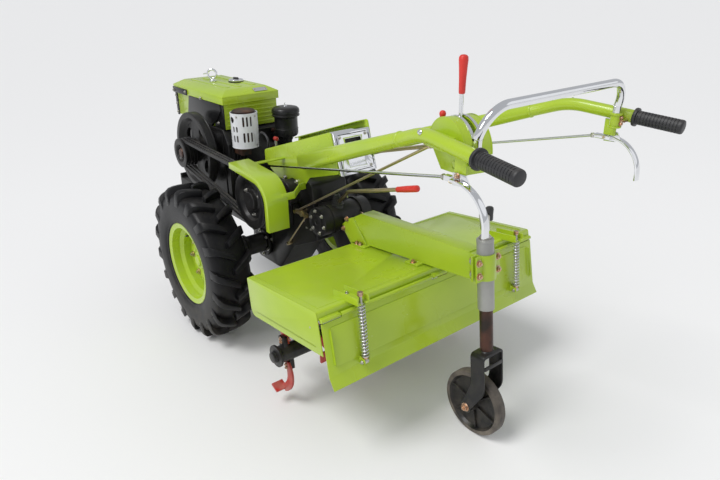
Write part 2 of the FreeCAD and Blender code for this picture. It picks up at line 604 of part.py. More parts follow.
clutch = turned("clutch_wheel", [
    (s.belt_inner - 30, 0), (s.belt_inner - 30, s.clutch_radius - 20), (s.belt_inner - 4, s.clutch_radius - 12),
    (s.belt_inner - 4, s.clutch_radius + 12), (s.belt_inner - 0.3, s.clutch_radius + 12),
    (s.belt_inner - 0.3, s.clutch_radius), (s.belt_outer + 0.3, s.clutch_radius),
    (s.belt_outer + 0.3, s.clutch_radius + 12), (s.belt_outer + 4, s.clutch_radius + 12),
    (s.belt_outer + 4, s.clutch_radius - 12), (s.belt_outer - 18, s.clutch_radius - 22),
    (s.belt_outer - 18, 40), (s.belt_outer + 4, 36), (s.belt_outer + 4, 0),
])
put(clutch, s.clutch_x, 0, s.clutch_z)
clutch_axle = cylinder("clutch_axle", s.clutch_shaft, (s.gearbox_half_width - 26, s.belt_inner - 28), "Y",
                       (s.clutch_x, s.clutch_z))
finish("clutch_pulley", fuse("clutch_pulley", clutch, clutch_axle))


def make_belts():
    # Three belts side by side, as one loop round both pulleys: straight runs on the outer tangents.
    first = FreeCAD.Vector(s.crank_x.number, 0, s.crank_z.number)
    second = FreeCAD.Vector(s.clutch_x.number, 0, s.clutch_z.number)
    gap, thick = s.belt_gap.number, s.belt_height.number
    low, high = s.belt_inner.number, s.belt_outer.number

    def loop(extra):
        ra, rb = s.pulley_radius.number + extra, s.clutch_radius.number + extra
        line = second - first
        along = FreeCAD.Vector(line).normalize()
        up = FreeCAD.Vector(-along.z, 0, along.x)
        lean = math.asin((rb - ra) / line.Length)
        points = []
        for way in (1, -1):
            out = up * (way * math.cos(lean)) - along * math.sin(lean)
            points.append((first + out * ra, second + out * rb))
        (a1, b1), (a2, b2) = points
        edges = [
            Part.LineSegment(a1, b1).toShape(), Part.Arc(b1, second + along * rb, b2).toShape(),
            Part.LineSegment(b2, a2).toShape(), Part.Arc(a2, first - along * ra, a1).toShape(),
        ]
        return Part.Face(Part.Wire(edges))

    ring = loop(gap + thick).cut(loop(gap))
    ring.translate(FreeCAD.Vector(0, low, 0))
    return ring.extrude(FreeCAD.Vector(0, high - low, 0))


finish("drive_belts", shaped("drive_belts_shape", make_belts()))

# Belt guard: one bent strip behind and over the clutch pulley, on a strap from the gearbox

wall = s.guard_wall
guard_low = s.guard_top - s.guard_fall


def guard_outline(depth):
    return [
        (s.guard_front, s.guard_top), (s.guard_rear, guard_low, s.guard_bend), (s.guard_rear, s.guard_bottom),
        (s.guard_rear + depth, s.guard_bottom), (s.guard_rear + depth, guard_low - depth, s.guard_bend - depth),
        (s.guard_front, s.guard_top - depth),
    ]


guard_strip = slab("guard_strip", guard_outline(wall), (s.guard_inner, s.guard_outer))
guard_side = slab("guard_side", guard_outline(s.guard_flange), (s.guard_outer - wall, s.guard_outer))
strap_low = s.guard_bottom + 105
strap_inner = s.gearbox_half_width + s.plate_wall
guard_strap = slab("guard_strap", [
    (s.guard_rear + wall, s.guard_inner), (s.guard_rear + wall, s.guard_inner + 20),
    (s.guard_rear + wall + 4, s.guard_inner + 20),
    (s.guard_rear + wall + 4, s.guard_inner - 30), (-348, strap_inner + 26), (-348, strap_inner),
    (-352, strap_inner),
    (-352, strap_inner + 24), (s.guard_rear + wall, s.guard_inner - 32),
], (strap_low, strap_low + s.strap_width), "XY_Plane")
guard_arm = box("guard_arm", (-215, -190), (s.gearbox_half_width + s.plate_wall, s.guard_inner + 4),
                (s.guard_top - 10, s.guard_top - 6))
finish("belt_guard", fuse("belt_guard", guard_strip, guard_side, guard_strap, guard_arm))

# Handle bracket: two plates beside the gearbox's top, the right one with a flange along its top edge

inner = s.gearbox_half_width
bracket_base = s.gearbox_top
slope = (s.bracket_high - s.bracket_low) / (s.bracket_front - s.bracket_rear)


def bracket_top(x):
    return bracket_base + s.bracket_low + slope * (s.bracket_front - x)


plates = []
for side, way in (("left", 1), ("right", -1)):
    span = (inner, inner + s.plate_wall) if way > 0 else (-inner - s.plate_wall, -inner)
    rise = 0 if way > 0 else 24
    plates.append(slab(f"bracket_plate_{side}", [
        (s.bracket_front, bracket_base + s.bracket_low + rise, 14),
        (s.bracket_rear, bracket_base + s.bracket_high + rise, 10),
        (s.bracket_rear - s.gate_lean * (s.bracket_high - 80), bracket_base + 80, 14),
        (s.bracket_rear + 140, bracket_base + 25, 30),
        (s.bracket_rear + 190, bracket_base - s.bracket_foot, 10),
        (s.bracket_front - 80, bracket_base - s.bracket_foot + 7, 10),
        (s.bracket_front, bracket_base + 25, 14),
    ], span))
flange = slab("bracket_flange", [
    (s.bracket_front - 16, bracket_top(s.bracket_front - 16) + 24),
    (s.bracket_rear + 14, bracket_top(s.bracket_rear + 14) + 24),
    (s.bracket_rear + 14, bracket_top(s.bracket_rear + 14) + 20),
    (s.bracket_front - 16, bracket_top(s.bracket_front - 16) + 20),
], (-inner, -inner + s.bracket_flange))
ties = [
    box(f"bracket_tie_{i}", (x, x + 45), (-inner, inner), (z, z + 5))
    for i, (x, z) in enumerate([
        (s.bracket_front - 140, bracket_base), (s.bracket_rear + 80, bracket_base + 62),
    ])
]
boss_notch = cylinder("boss_notch", s.clutch_shaft + 23, (inner - 1, inner + 60), "Y", (s.clutch_x, s.clutch_z))
finish("handle_bracket", cut("handle_bracket", fuse("bracket_fused", *plates, flange, *ties), boss_notch))

# Handle arms: a pressed channel that tapers back to a round tube, with a sleeve for the hoop

arm_front_y = inner + s.plate_wall + s.arm_half_width + 1.5


def vector(*values):
    return FreeCAD.Vector(*[float(v) for v in values])


def rounded_frame(middle, ahead, half_width, half_height, radius):
    # A rounded rectangle square to the way the arm runs.
    across = FreeCAD.Vector(0, 0, 1).cross(ahead).normalize()
    up = ahead.cross(across).normalize()
    edges = []
    turned_corners = [(1, 1), (-1, 1), (-1, -1), (1, -1)]
    for i, (u, w) in enumerate(turned_corners):
        un, wn = turned_corners[(i + 1) % 4]
        centre = middle + across * (u * (half_width - radius)) + up * (w * (half_height - radius))
        following = middle + across * (un * (half_width - radius)) + up * (wn * (half_height - radius))
        if i % 2 == 0:
            first, last, side = across * u, up * w, up * w
        else:
            first, last, side = up * w, across * u, across * u
        corner = (first + last).normalize()
        edges.append(Part.Arc(centre + first * radius, centre + corner * radius,
                              centre + last * radius).toShape())
        edges.append(Part.LineSegment(centre + side * radius, following + side * radius).toShape())
    return Part.Wire(edges)


def make_handle():
    front = vector(s.arm_front_x, arm_front_y, s.arm_front_z)
    weld = vector(s.weld_x, s.weld_y, s.weld_z)
    bend = vector(s.bend_x, s.bend_y, s.bend_z)
    end = vector(s.grip_end_x, s.grip_end_y, s.grip_end_z)
    ahead = (weld - front).normalize()
    half = s.arm_rear_half.number
    arm = Part.makeLoft([
        rounded_frame(front, ahead, s.arm_half_width.number, s.arm_front_height.number / 2, 12),
        rounded_frame(weld, ahead, half, half, half - 1),
    ], True, True)
    corner = Part.Face(Part.makePolygon([
        front + vector(*offset) for offset in ((62, -300, 5), (-58, -300, -20), (-58, -300, -80),
                                               (62, -300, -80), (62, -300, 5))
    ])).extrude(FreeCAD.Vector(0, 600, 0))
    back = (bend - end).normalize()
    grip_start = end + back * s.grip_length.number
    tube = bent_bar([weld - ahead * 12, bend, grip_start + back * 0.2], [s.handle_bend], s.tube_radius)
    plate_y = float(inner + s.plate_wall)
    shoe = Part.makeBox(50, arm_front_y.number - plate_y, 36,
                        FreeCAD.Vector(front.x - 62, plate_y, front.z - 4))
    lug = Part.makeBox(30, arm_front_y.number + 34 - plate_y, 30,
                       FreeCAD.Vector(front.x - 142, plate_y, front.z + 26))
    sleeve = Part.makeCylinder(s.sleeve_radius.number, s.sleeve_height.number,
                               vector(s.hoop_x, s.hoop_half_width, s.sleeve_bottom))
    sleeve_bore = Part.makeCylinder(s.hoop_radius.number + s.running_gap.number, s.sleeve_height.number + 2,
                                    vector(s.hoop_x, s.hoop_half_width, s.sleeve_bottom - 1))
    tab = Part.makeBox(34, 5, 44, vector(s.pivot_x - 20, s.pivot_y - 6, s.pivot_z + 8))
    solid = arm.cut(corner).multiFuse([tube, shoe, lug, sleeve, tab]).cut(sleeve_bore)
    rubber = Part.makeCylinder(s.grip_radius.number, s.grip_length.number, end, back)
    flange = Part.makeCylinder(s.grip_flange.number, s.grip_flange_length.number,
                               grip_start - back * s.grip_flange_length.number, back)
    return solid, rubber.fuse(flange)


handle_solid, grip_solid = make_handle()
for side, way in (("left", 1), ("right", -1)):
    for label, shape in ((f"handlebar_{side}", handle_solid), (f"grip_{side}", grip_solid)):
        piece = shape if way > 0 else shape.mirror(FreeCAD.Vector(), FreeCAD.Vector(0, 1, 0))
        finish(label, shaped(f"{label}_shape", piece))

hoop_lean = s.hoop_x - s.hoop_lean
hoop_points = [
    (s.hoop_x, s.hoop_half_width, s.hoop_foot), (s.hoop_x, s.hoop_half_width, s.hoop_foot + 52),
    (hoop_lean, s.hoop_half_width, s.hoop_top), (hoop_lean, -s.hoop_half_width, s.hoop_top),
    (s.hoop_x, -s.hoop_half_width, s.hoop_foot + 52), (s.hoop_x, -s.hoop_half_width, s.hoop_foot),
]
finish("handle_hoop",
       shaped("hoop_shape", bent_bar(hoop_points, [20, s.hoop_bend, s.hoop_bend, 20], s.hoop_radius)))

# Console: a hollow half drum with a box under it, drawn along X and then set on the left handle's inner side

console_turn = -math.degrees(math.atan2(s.weld_y.number - arm_front_y.number,
                                        s.arm_front_x.number - s.weld_x.number))


def beside_handle(shape):
    moved = shape.copy()
    moved.rotate(vector(s.drum_x, 0, 0), FreeCAD.Vector(0, 0, 1), console_turn)
    moved.translate(vector(0, s.drum_y, 0))
    return Part.makeCompound([moved])


half_drum_width = s.drum_half_width
drum = cylinder("drum", s.drum_radius, (-half_drum_width, half_drum_width), "Y", (s.drum_x, s.drum_z))
drum_floor = box("drum_floor", (s.drum_x - 120, s.drum_x + 120), (-100, 100), (s.drum_z - 120, s.drum_z))
under_box = slab("under_box", [
    (s.drum_x + 60, s.drum_z + 1), (s.drum_x + 16, s.drum_z - 48), (s.drum_x - 74, s.drum_z - 42),
    (s.drum_x - 74, s.drum_z + 1),
], (-half_drum_width, half_drum_width))
drum_room = cylinder("drum_room", s.drum_radius - s.sheet,
                     (-half_drum_width + s.sheet, half_drum_width - s.sheet), "Y",
                     (s.drum_x, s.drum_z))
drum_room_floor = box("drum_room_floor", (s.drum_x - 120, s.drum_x + 120), (-100, 100),
                      (s.drum_z - 120, s.drum_z - 6))
under_room = slab("under_room", [
    (s.drum_x + 60 - s.sheet * 2, s.drum_z - 5), (s.drum_x + 16 - s.sheet, s.drum_z - 56),
    (s.drum_x - 74 + s.sheet, s.drum_z - 56), (s.drum_x - 74 + s.sheet, s.drum_z - 5),
], (-half_drum_width + s.sheet, half_drum_width - s.sheet))
console_seat = box("console_seat", (s.drum_x - 40, s.drum_x + 44), (half_drum_width - 1, half_drum_width + 34),
                   (s.drum_z + 10, s.drum_z + 38))
lever_slot = box("lever_slot", (s.drum_x - s.slot_reach, s.drum_x + 12),
                 (-s.slot_half_width, s.slot_half_width),
                 (s.drum_z + s.drum_radius / 2, s.drum_z + s.drum_radius + 5))
drum_outside = fuse("drum_outside", cut("half_drum", drum, drum_floor), under_box, console_seat)
console = cut("console", drum_outside, cut("half_room", drum_room, drum_room_floor), under_room, lever_slot)
lever_top = s.drum_z + s.drum_radius + s.lever_rise
lever_shaft = cylinder("lever_shaft", s.lever_radius, (s.drum_z + 20, lever_top - 20), "Z", (s.drum_x, 0))
lever_hub = cylinder("lever_hub", 14, (-half_drum_width + s.sheet + 0.3, half_drum_width - s.sheet - 0.3), "Y",
                     (s.drum_x, s.drum_z + 20))
lever_grip = cylinder("lever_grip", s.lever_grip_radius, (lever_top - s.lever_grip_length, lever_top), "Z",
                      (s.drum_x, 0))
lever = fuse("lever", lever_shaft, lever_hub, lever_grip)
doc.recompute()
finish("control_console", shaped("control_console_shape", beside_handle(console.Shape).cut(handle_solid)))
finish("main_lever", shaped("main_lever_shape", beside_handle(lever.Shape)))


def leaning(height):
    return s.gate_x - s.gate_lean * (s.gate_top - height)


gate_frame = slab("gate_frame", [
    (leaning(s.gate_bottom), s.gate_bottom), (leaning(s.gate_top), s.gate_top),
    (leaning(s.gate_top) + s.gate_depth, s.gate_top), (leaning(s.gate_bottom) + s.gate_depth, s.gate_bottom),
], (-inner, inner))
gate_slots = [
    slab(f"gate_slot_{i}", [
        (leaning(z) - 1, z), (leaning(z + 28) - 1, z + 28), (leaning(z + 28) + s.gate_depth + 1, z + 28),
        (leaning(z) + s.gate_depth + 1, z),
    ], (-35, 35))
    for i, z in enumerate((s.gate_bottom + 26, s.gate_top - 54))
]
finish("gate_plate", cut("gate_plate", gate_frame, *gate_slots))

# Squeeze levers under the handles, each with its clevis and its rod forward to the gearbox


def make_squeeze_lever():
    side = s.pivot_y.number
    px, pz, tx, tz = (float(v) for v in (s.pivot_x, s.pivot_z, s.squeeze_x, s.squeeze_z))
    wall, half = s.squeeze_wall.number, s.squeeze_half_width.number

    def flat(corners, low, high):
        face = Part.Face(Part.makePolygon([FreeCAD.Vector(x, low, z) for x, z in corners + corners[:1]]))
        return face.extrude(FreeCAD.Vector(0, high - low, 0))

    plate = flat([(px + 14, pz + 18), (px - 24, pz + 18), (px - 34, pz), (px - 20, pz - 10),
                  (px + 14, pz - 12)],
                 side + 0.2, side + 4.2)
    path = bent_path([(px + 12, side + half, pz + 2), (tx, side + half, pz - 2), (tx - 4, side + half, tz)],
                     [92])
    start = path.Edges[0].Curve.value(path.Edges[0].FirstParameter)
    ring = Part.makePolygon([start + FreeCAD.Vector(0, u, w) for u, w in (
        (-half, -wall / 2), (half, -wall / 2), (half, wall / 2), (-half, wall / 2), (-half, -wall / 2))])
    arm = path.makePipeShell([ring], True, False)
    clevis = Part.makeBox(s.clevis_length.number, 14, 12, FreeCAD.Vector(px - 8, side - 8, pz - 6))
    slot = Part.makeBox(34, 6, 14, FreeCAD.Vector(px - 10, side - 0.1, pz - 7))
    front = vector(s.rod_front_x, s.rod_front_y, s.rod_front_z)
    rear = FreeCAD.Vector(px - 9 + s.clevis_length.number, side - 1, pz)
    rod = bent_bar([rear, front], [], s.rod_radius)
    return plate.multiFuse([arm, clevis.cut(slot), rod])


squeeze_solid = make_squeeze_lever()
for side, way in (("left", 1), ("right", -1)):
    piece = squeeze_solid if way > 0 else squeeze_solid.mirror(FreeCAD.Vector(), FreeCAD.Vector(0, 1, 0))
    finish(f"squeeze_lever_{side}", shaped(f"squeeze_lever_{side}_shape", piece))

# Bell crank on the gearbox's left side, with the rod up to the console and the rod down to the shift fork

bell_y = inner + 14
bell_plate = slab("bell_plate", [
    (s.crank_pivot_x - s.crank_arm, s.crank_pivot_z - 9, 8),
    (s.crank_pivot_x - s.crank_arm, s.crank_pivot_z + 9, 8),
    (s.crank_pivot_x, s.crank_pivot_z + 16, 10), (s.crank_pivot_x + s.crank_arm, s.crank_pivot_z + 9, 8),
    (s.crank_pivot_x + s.crank_arm, s.crank_pivot_z - 9, 8),
], (bell_y, bell_y + 5))
bell_boss = cylinder("bell_boss", 12, (inner, bell_y + 9), "Y", (s.crank_pivot_x, s.crank_pivot_z))
rod_end = vector(s.drum_x, s.drum_y, 0) + FreeCAD.Rotation(FreeCAD.Vector(0, 0, 1), console_turn).multVec(
    vector(55, half_drum_width + 7, s.drum_z))
console_pin = shaped("console_pin", beside_handle(Part.makeCylinder(
    6, 14, vector(s.drum_x + 55, half_drum_width, s.drum_z), FreeCAD.Vector(0, 1, 0))))
upper_rod = shaped("upper_rod", bent_bar([
    (s.crank_pivot_x + s.crank_arm - 6, bell_y + 8, s.crank_pivot_z), tuple(rod_end),
], [], s.rod_radius))
brace_y = inner + s.plate_wall + 14
brace_rod = shaped("brace_rod",
                   bent_bar([tuple(rod_end), (s.brace_x, brace_y, s.brace_z)], [], s.rod_radius + 1))
brace_pin = cylinder("brace_pin", 8, (inner + s.plate_wall, brace_y + 6), "Y", (s.brace_x, s.brace_z))
lower_rod = shaped("lower_rod", bent_bar([
    (s.crank_pivot_x - s.crank_arm + 6, bell_y + 8, s.crank_pivot_z),
    (s.crank_pivot_x + 114, bell_y + 4, s.crank_pivot_z - 162),
], [], s.rod_radius - 1))
shift_pin = cylinder("shift_pin", 8, (inner, bell_y + 8), "Y", (s.crank_pivot_x + 114, s.crank_pivot_z - 162))
finish("linkage_rods", fuse("linkage_rods", bell_plate, bell_boss, console_pin, upper_rod, brace_rod, brace_pin,
                            lower_rod, shift_pin))

# Tiller: everything below is drawn from the rotor's axis and leans with the tiller

hood_sheet = slab("hood_sheet", [
    (s.hood_front, s.hood_top - s.front_lip), (s.hood_front, s.hood_top, 8), (s.hood_rear, s.hood_top, 8),
    (s.hood_rear, s.hood_top - s.rear_lip), (s.hood_rear + s.sheet_wall, s.hood_top - s.rear_lip),
    (s.hood_rear + s.sheet_wall, s.hood_top - s.sheet_wall, 5),
    (s.hood_front - s.sheet_wall, s.hood_top - s.sheet_wall, 5),
    (s.hood_front - s.sheet_wall, s.hood_top - s.front_lip),
], (-s.hood_half_width + s.sheet_wall, s.hood_half_width - s.sheet_wall))
lip_notch = box("lip_notch", (s.hood_front - 20, s.hood_front + 5),
                (-s.case_half_width - 8, s.case_half_width + 8),
                (s.hood_top - s.front_lip - 1, s.hood_top - 12))
flap_half = s.hood_half_width - s.flap_margin
hinge_pin = cylinder("hinge_pin", s.hinge_pin, (-flap_half, flap_half), "Y", (s.hinge_x, s.hinge_z))
knuckles = []
hood_spans = [(-flap_half, -flap_half + s.hinge_end), (-s.hinge_middle, s.hinge_middle),
              (flap_half - s.hinge_end, flap_half)]
for i, (low, high) in enumerate(hood_spans):
    knuckles.append(cylinder(f"hood_knuckle_{i}", s.knuckle, (low, high), "Y", (s.hinge_x, s.hinge_z)))
    knuckles.append(box(f"hood_leaf_{i}", (s.hinge_x, s.hood_rear + s.sheet_wall), (low, high),
                        (s.hinge_z + s.knuckle - 3, s.hinge_z + s.knuckle)))
brackets = []
for side, way in (("left", 1), ("right", -1)):
    middle = way * (s.hood_half_width - s.spring_inset)
    reach = (s.spring_x - s.guide_reach, s.hood_rear + 60)
    base = box(f"guide_{side}", reach, (middle - 22, middle + 22),
               (s.hood_top - 0.5, s.hood_top + s.guide_wall))
    cheeks = [
        box(f"guide_cheek_{side}_{i}", reach, (middle + low, middle + low + s.guide_wall),
            (s.hood_top, s.hood_top + 22)) for i, low in enumerate((sized(-22), 22 - s.guide_wall))
    ]
    slot = box(f"guide_slot_{side}", (s.spring_x - s.guide_reach - 1, s.spring_x + s.guide_slot),
               (middle - s.guide_slot, middle + s.guide_slot), (s.hood_top - 5, s.hood_top + 30))
    brackets.append(cut(f"guide_cut_{side}", fuse(f"guide_fused_{side}", base, *cheeks), slot))
finish("tiller_hood",
       fuse("tiller_hood", cut("hood_notched", hood_sheet, lip_notch), hinge_pin, *knuckles, *brackets),
       tiller=True)

flap_slope = (s.fold_x - s.hinge_x) / (s.hinge_z - s.fold_z)
panel_foot_x = s.hinge_x + flap_slope * (s.hinge_z - s.side_bottom) + s.panel_clearance
for side, way in (("left", 1), ("right", -1)):
    outer_face = s.hood_half_width
    span = (outer_face - s.sheet_wall, outer_face) if way > 0 else (-outer_face, -outer_face + s.sheet_wall)
    finish(f"side_panel_{side}", slab(f"side_panel_{side}_body", [
        (s.hood_front, s.hood_top, 8), (s.hood_front, s.side_bottom, 25), (panel_foot_x, s.side_bottom, 8),
        (s.hinge_x + s.panel_clearance, s.hinge_z, 2), (s.hood_rear + 2, s.hood_top, 8),
    ], span), tiller=True)

flap_sheet = slab("flap_sheet", [
    (s.hinge_x - 1.5, s.hinge_z - 4), (s.fold_x - 1.5, s.fold_z), (s.lip_x - 1.5, s.lip_z),
    (s.lip_x + 1.5, s.lip_z), (s.fold_x + 1.5, s.fold_z), (s.hinge_x + 1.5, s.hinge_z - 4),
], (-flap_half, flap_half))
flap_spans = [(-flap_half + s.hinge_end + s.hinge_gap, -s.hinge_middle - s.hinge_gap),
              (s.hinge_middle + s.hinge_gap, flap_half - s.hinge_end - s.hinge_gap)]
flap_tubes = [
    cylinder(f"flap_knuckle_{i}", s.knuckle, span, "Y", (s.hinge_x, s.hinge_z))
    for i, span in enumerate(flap_spans)
]
flap_bore = cylinder("flap_bore", s.hinge_pin + 0.1, (-flap_half - 10, flap_half + 10), "Y",
                     (s.hinge_x, s.hinge_z))
flap_notches = [
    box(f"flap_notch_{i}", (s.hinge_x - 12, s.hinge_x + 12), span, (s.hinge_z - s.knuckle - 2.5, s.hinge_z + 9))
    for i, span in enumerate([
        (-flap_half - 10, -flap_half + s.hinge_end + s.hinge_gap),
        (-s.hinge_middle - s.hinge_gap, s.hinge_middle + s.hinge_gap),
        (flap_half - s.hinge_end - s.hinge_gap, flap_half + 10)])
]
spring_lugs = []
for side, way in (("left", 1), ("right", -1)):
    middle = way * (s.hood_half_width - s.spring_inset)
    for i, low in enumerate((-11, 7)):
        spring_lugs.append(slab(f"spring_lug_{side}_{i}", [
            (s.spring_x - 8, s.spring_eye_z - 8, 6), (s.spring_x - 8, s.spring_eye_z + 8, 6),
            (s.fold_x + 4, s.spring_eye_z + 14), (s.fold_x + 2, s.spring_eye_z - 8),
        ], (middle + low, middle + low + 4)))
    spring_lugs.append(cylinder(f"spring_pin_{side}", s.hinge_pin, (middle - 14, middle + 14), "Y",
                                (s.spring_x, s.spring_eye_z)))
flap_front = slab("flap_front", [
    (s.hinge_x + 1.5, s.hinge_z - 4), (s.fold_x + 1.5, s.fold_z), (s.fold_x + 60, s.fold_z),
    (s.fold_x + 60, s.hinge_z - 4),
], (-flap_half, flap_half))
flap_fused = fuse("flap_fused", flap_sheet, *flap_tubes,
                  cut("lugs_trimmed", fuse("lugs", *spring_lugs), flap_front))
finish("rear_flap", cut("rear_flap", flap_fused, flap_bore, *flap_notches), tiller=True)

# Two sprung rods press the flap down; each slides through the slot of a bracket on the hood

for side, way in (("left", 1), ("right", -1)):
    middle = way * (s.hood_half_width - s.spring_inset)
    across = (s.spring_x, middle)
    eye = cylinder(f"rod_eye_{side}", 8, (middle - 6.5, middle + 6.5), "Y", (s.spring_x, s.spring_eye_z))
    eye_bore = cylinder(f"rod_bore_{side}", s.hinge_pin + 0.1, (middle - 8, middle + 8), "Y",
                        (s.spring_x, s.spring_eye_z))
    bar = cylinder(f"rod_bar_{side}", s.spring_rod, (s.spring_eye_z + 5, s.hood_top + 34), "Z", across)
    collar = cylinder(f"rod_collar_{side}", s.spring_radius, (s.spring_eye_z + 16, s.spring_eye_z + 20), "Z",
                      across)
    finish(f"spring_rod_{side}", cut(f"rod_cut_{side}", fuse(f"rod_all_{side}", eye, bar, collar), eye_bore),
           tiller=True)
    coil_top = s.hood_top - 1
    coil = cylinder(f"coil_{side}", s.spring_radius, (s.spring_eye_z + 20, coil_top), "Z", across)
    coil_bore = cylinder(f"coil_bore_{side}", s.spring_rod + 0.3, (s.spring_eye_z + 19, coil_top + 1), "Z",
                         across)
    finish(f"flap_spring_{side}", cut(f"coil_cut_{side}", coil, coil_bore), tiller=True)

# Beam over the hood, from the drive case back to the post

beam_bottom = s.hood_top + s.foot_height
beam_front_top = beam_bottom + s.beam_front_height
beam_body = slab("beam_body", [
    (s.beam_rear, beam_bottom), (s.beam_rear, beam_bottom + s.beam_rear_height),
    (s.beam_nose - 105, beam_front_top),
    (s.beam_nose - 60, beam_front_top - 20), (s.beam_nose, s.drive_z - 14), (s.beam_nose, beam_bottom + 12),
    (s.beam_nose - 12, beam_bottom),
], (-s.beam_half_width, s.beam_half_width))
cheeks = []
for side, way in (("left", 1), ("right", -1)):
    near, far = s.beam_half_width, s.beam_half_width + s.cheek_wall
    cheeks.append(slab(f"beam_cheek_{side}", [
        (s.beam_nose - 60, beam_front_top - 20), (s.cheek_front - 44, s.drive_z + 12),
        (s.cheek_front, s.drive_z - 20),
        (s.cheek_front - 50, s.hood_top - 8), (s.hood_front + 2, s.hood_top - 8),
        (s.hood_front + 2, s.hood_top + 2),
        (s.beam_nose - 126, beam_bottom + 2),
    ], (near, far) if way > 0 else (-far, -near)))
feet = [
    box(f"beam_foot_{i}", span, (-s.foot_half_width, s.foot_half_width), (s.hood_top, beam_bottom))
    for i, span in enumerate([(-30, 40), (-300, -240)])
]
# Drive case: a cross housing on the gearbox, and the chain case down to the rotor
drive = (s.drive_x, s.drive_z)
drive_housing = cylinder("drive_housing", s.drive_radius, (-s.drive_half_width, s.drive_half_width), "Y", drive)
neck = box("drive_neck", (s.drive_x, s.neck_front), (-s.neck_half_width, s.neck_half_width),
           (s.drive_z - s.neck_half_height, s.drive_z + s.neck_half_height))


def make_chain_case():
    # Two rounds joined by their common tangents.
    top = FreeCAD.Vector(s.drive_x.number, 0, s.drive_z.number)
    big, small = s.drive_radius.number, s.case_radius.number
    line = top
    along = FreeCAD.Vector(line).normalize()
    up = FreeCAD.Vector(-along.z, 0, along.x)
    lean = math.asin((big - small) / line.Length)
    ends = []
    for way in (1, -1):
        out = up * (way * math.cos(lean)) - along * math.sin(lean)
        ends.append((out * small, top + out * big))
    (a1, b1), (a2, b2) = ends
    face = Part.Face(Part.Wire([
        Part.LineSegment(a1, b1).toShape(), Part.Arc(b1, top + along * big, b2).toShape(),
        Part.LineSegment(b2, a2).toShape(), Part.Arc(a2, along * -small, a1).toShape(),
    ]))
    half = s.case_half_width.number
    face.translate(FreeCAD.Vector(0, -half, 0))
    return face.extrude(FreeCAD.Vector(0, 2 * half, 0))


chain_case = shaped("chain_case_shape", make_chain_case())
rotor_bore = cylinder("rotor_bore", s.rotor_shaft + s.running_gap,
                      (-s.case_half_width - 1, s.case_half_width + 1),
                      "Y", (0, 0))
finish("drive_case", cut("drive_case", fuse("drive_fused", drive_housing, neck, chain_case), rotor_bore),
       tiller=True)

finish("tiller_beam", cut("tiller_beam", fuse("beam_fused", beam_body, *cheeks, *feet),
                          fuse("beam_seat", drive_housing, chain_case)),
       tiller=True)

# Gear lever: a rubber boot on the drive case, a bent bar and a handle
boot_base = s.drive_z + s.drive_radius - 16
boot_rings = [
    cylinder(f"boot_ring_{i}", s.boot_radius - 4 * i,
             (boot_base, s.drive_z + s.drive_radius + s.boot_height * (i + 1) / 4), "Z",
             (s.gear_x, s.gear_y)) for i in range(4)
]
gear_points = [(s.gear_x, s.gear_y, s.drive_z + s.drive_radius), (s.gear_bend_x, s.gear_bend_y, s.gear_bend_z),
               (s.gear_end_x, s.gear_end_y, s.gear_end_z)]
gear_bar = shaped("gear_bar", bent_bar(gear_points, [30], s.gear_radius))
gear_back = (vector(*gear_points[1]) - vector(*gear_points[2])).normalize()
gear_grip = shaped("gear_grip", Part.makeCylinder(s.gear_radius.number + 4, s.gear_grip_length.number,
                                                  vector(*gear_points[2]), gear_back))
finish("gear_lever",
       cut("gear_lever", fuse("gear_lever_fused", *boot_rings, gear_bar, gear_grip), drive_housing),
       tiller=True)

# Rotor: one shaft through the chain case, a tube and blade holders on each side
shaft = cylinder("rotor_core", s.rotor_shaft, (-s.rotor_half_length - 14, s.rotor_half_length + 14), "Y",
                 (0, 0))
tube_start = s.case_half_width + s.case_gap
tubes = [
    cylinder("rotor_tube_left", s.rotor_tube, (tube_start, s.rotor_half_length), "Y", (0, 0)),
    cylinder("rotor_tube_right", s.rotor_tube, (-s.rotor_half_length, -tube_start), "Y", (0, 0)),
]
doc.recompute()
# station as a share of its tube's length, left ones positive, and the turn of the first of its two blades
stations = [
    (63 / 407, 45), (173 / 407, 90), (283 / 407, 115), (363 / 407, 0),
    (-63 / 407, 67), (-173 / 407, 112), (-283 / 407, 137), (-363 / 407, 22),
]


def make_blades():
    holders, blades = [], []
    wall, foot, reach = s.blade_wall.number, s.blade_foot.number, s.blade_radius.number
    root = s.holder_radius.number
    tube_foot = s.case_half_width.number + s.case_gap.number
    for share, turn in stations:
        side = 1 if share > 0 else -1
        y = side * tube_foot + share * (s.rotor_half_length.number - tube_foot)
        for i in range(2):
            way = 1 if i else -1
            holder = Part.makeBox(30, 16, root, FreeCAD.Vector(-15, y - 16 if way > 0 else y, 0))
            low = y if way > 0 else y - wall
            leg = Part.Face(Part.Wire([
                Part.LineSegment(FreeCAD.Vector(-14, low, 34), FreeCAD.Vector(14, low, 34)).toShape(),
                Part.Arc(FreeCAD.Vector(14, low, 34), FreeCAD.Vector(20, low, 120),
                         FreeCAD.Vector(-32, low, reach - 4)).toShape(),
                Part.LineSegment(FreeCAD.Vector(-32, low, reach - 4),
                                 FreeCAD.Vector(-60, low, reach - 26)).toShape(),
                Part.Arc(FreeCAD.Vector(-60, low, reach - 26), FreeCAD.Vector(-18, low, 120),
                         FreeCAD.Vector(-14, low, 34)).toShape(),
            ])).extrude(FreeCAD.Vector(0, wall, 0))
            start = low if way > 0 else low - foot + wall
            toe = Part.makeBox(36, foot, wall, FreeCAD.Vector(0, 0, -wall))
            toe.rotate(FreeCAD.Vector(), FreeCAD.Vector(0, 1, 0), -30)
            toe.translate(FreeCAD.Vector(-64, start, reach - 30))
            blade = leg.fuse(toe)
            for group, solid in ((holders, holder), (blades, blade)):
                solid.rotate(FreeCAD.Vector(), FreeCAD.Vector(0, 1, 0), turn + 180 * i)
                group.append(solid)
    return holders, blades


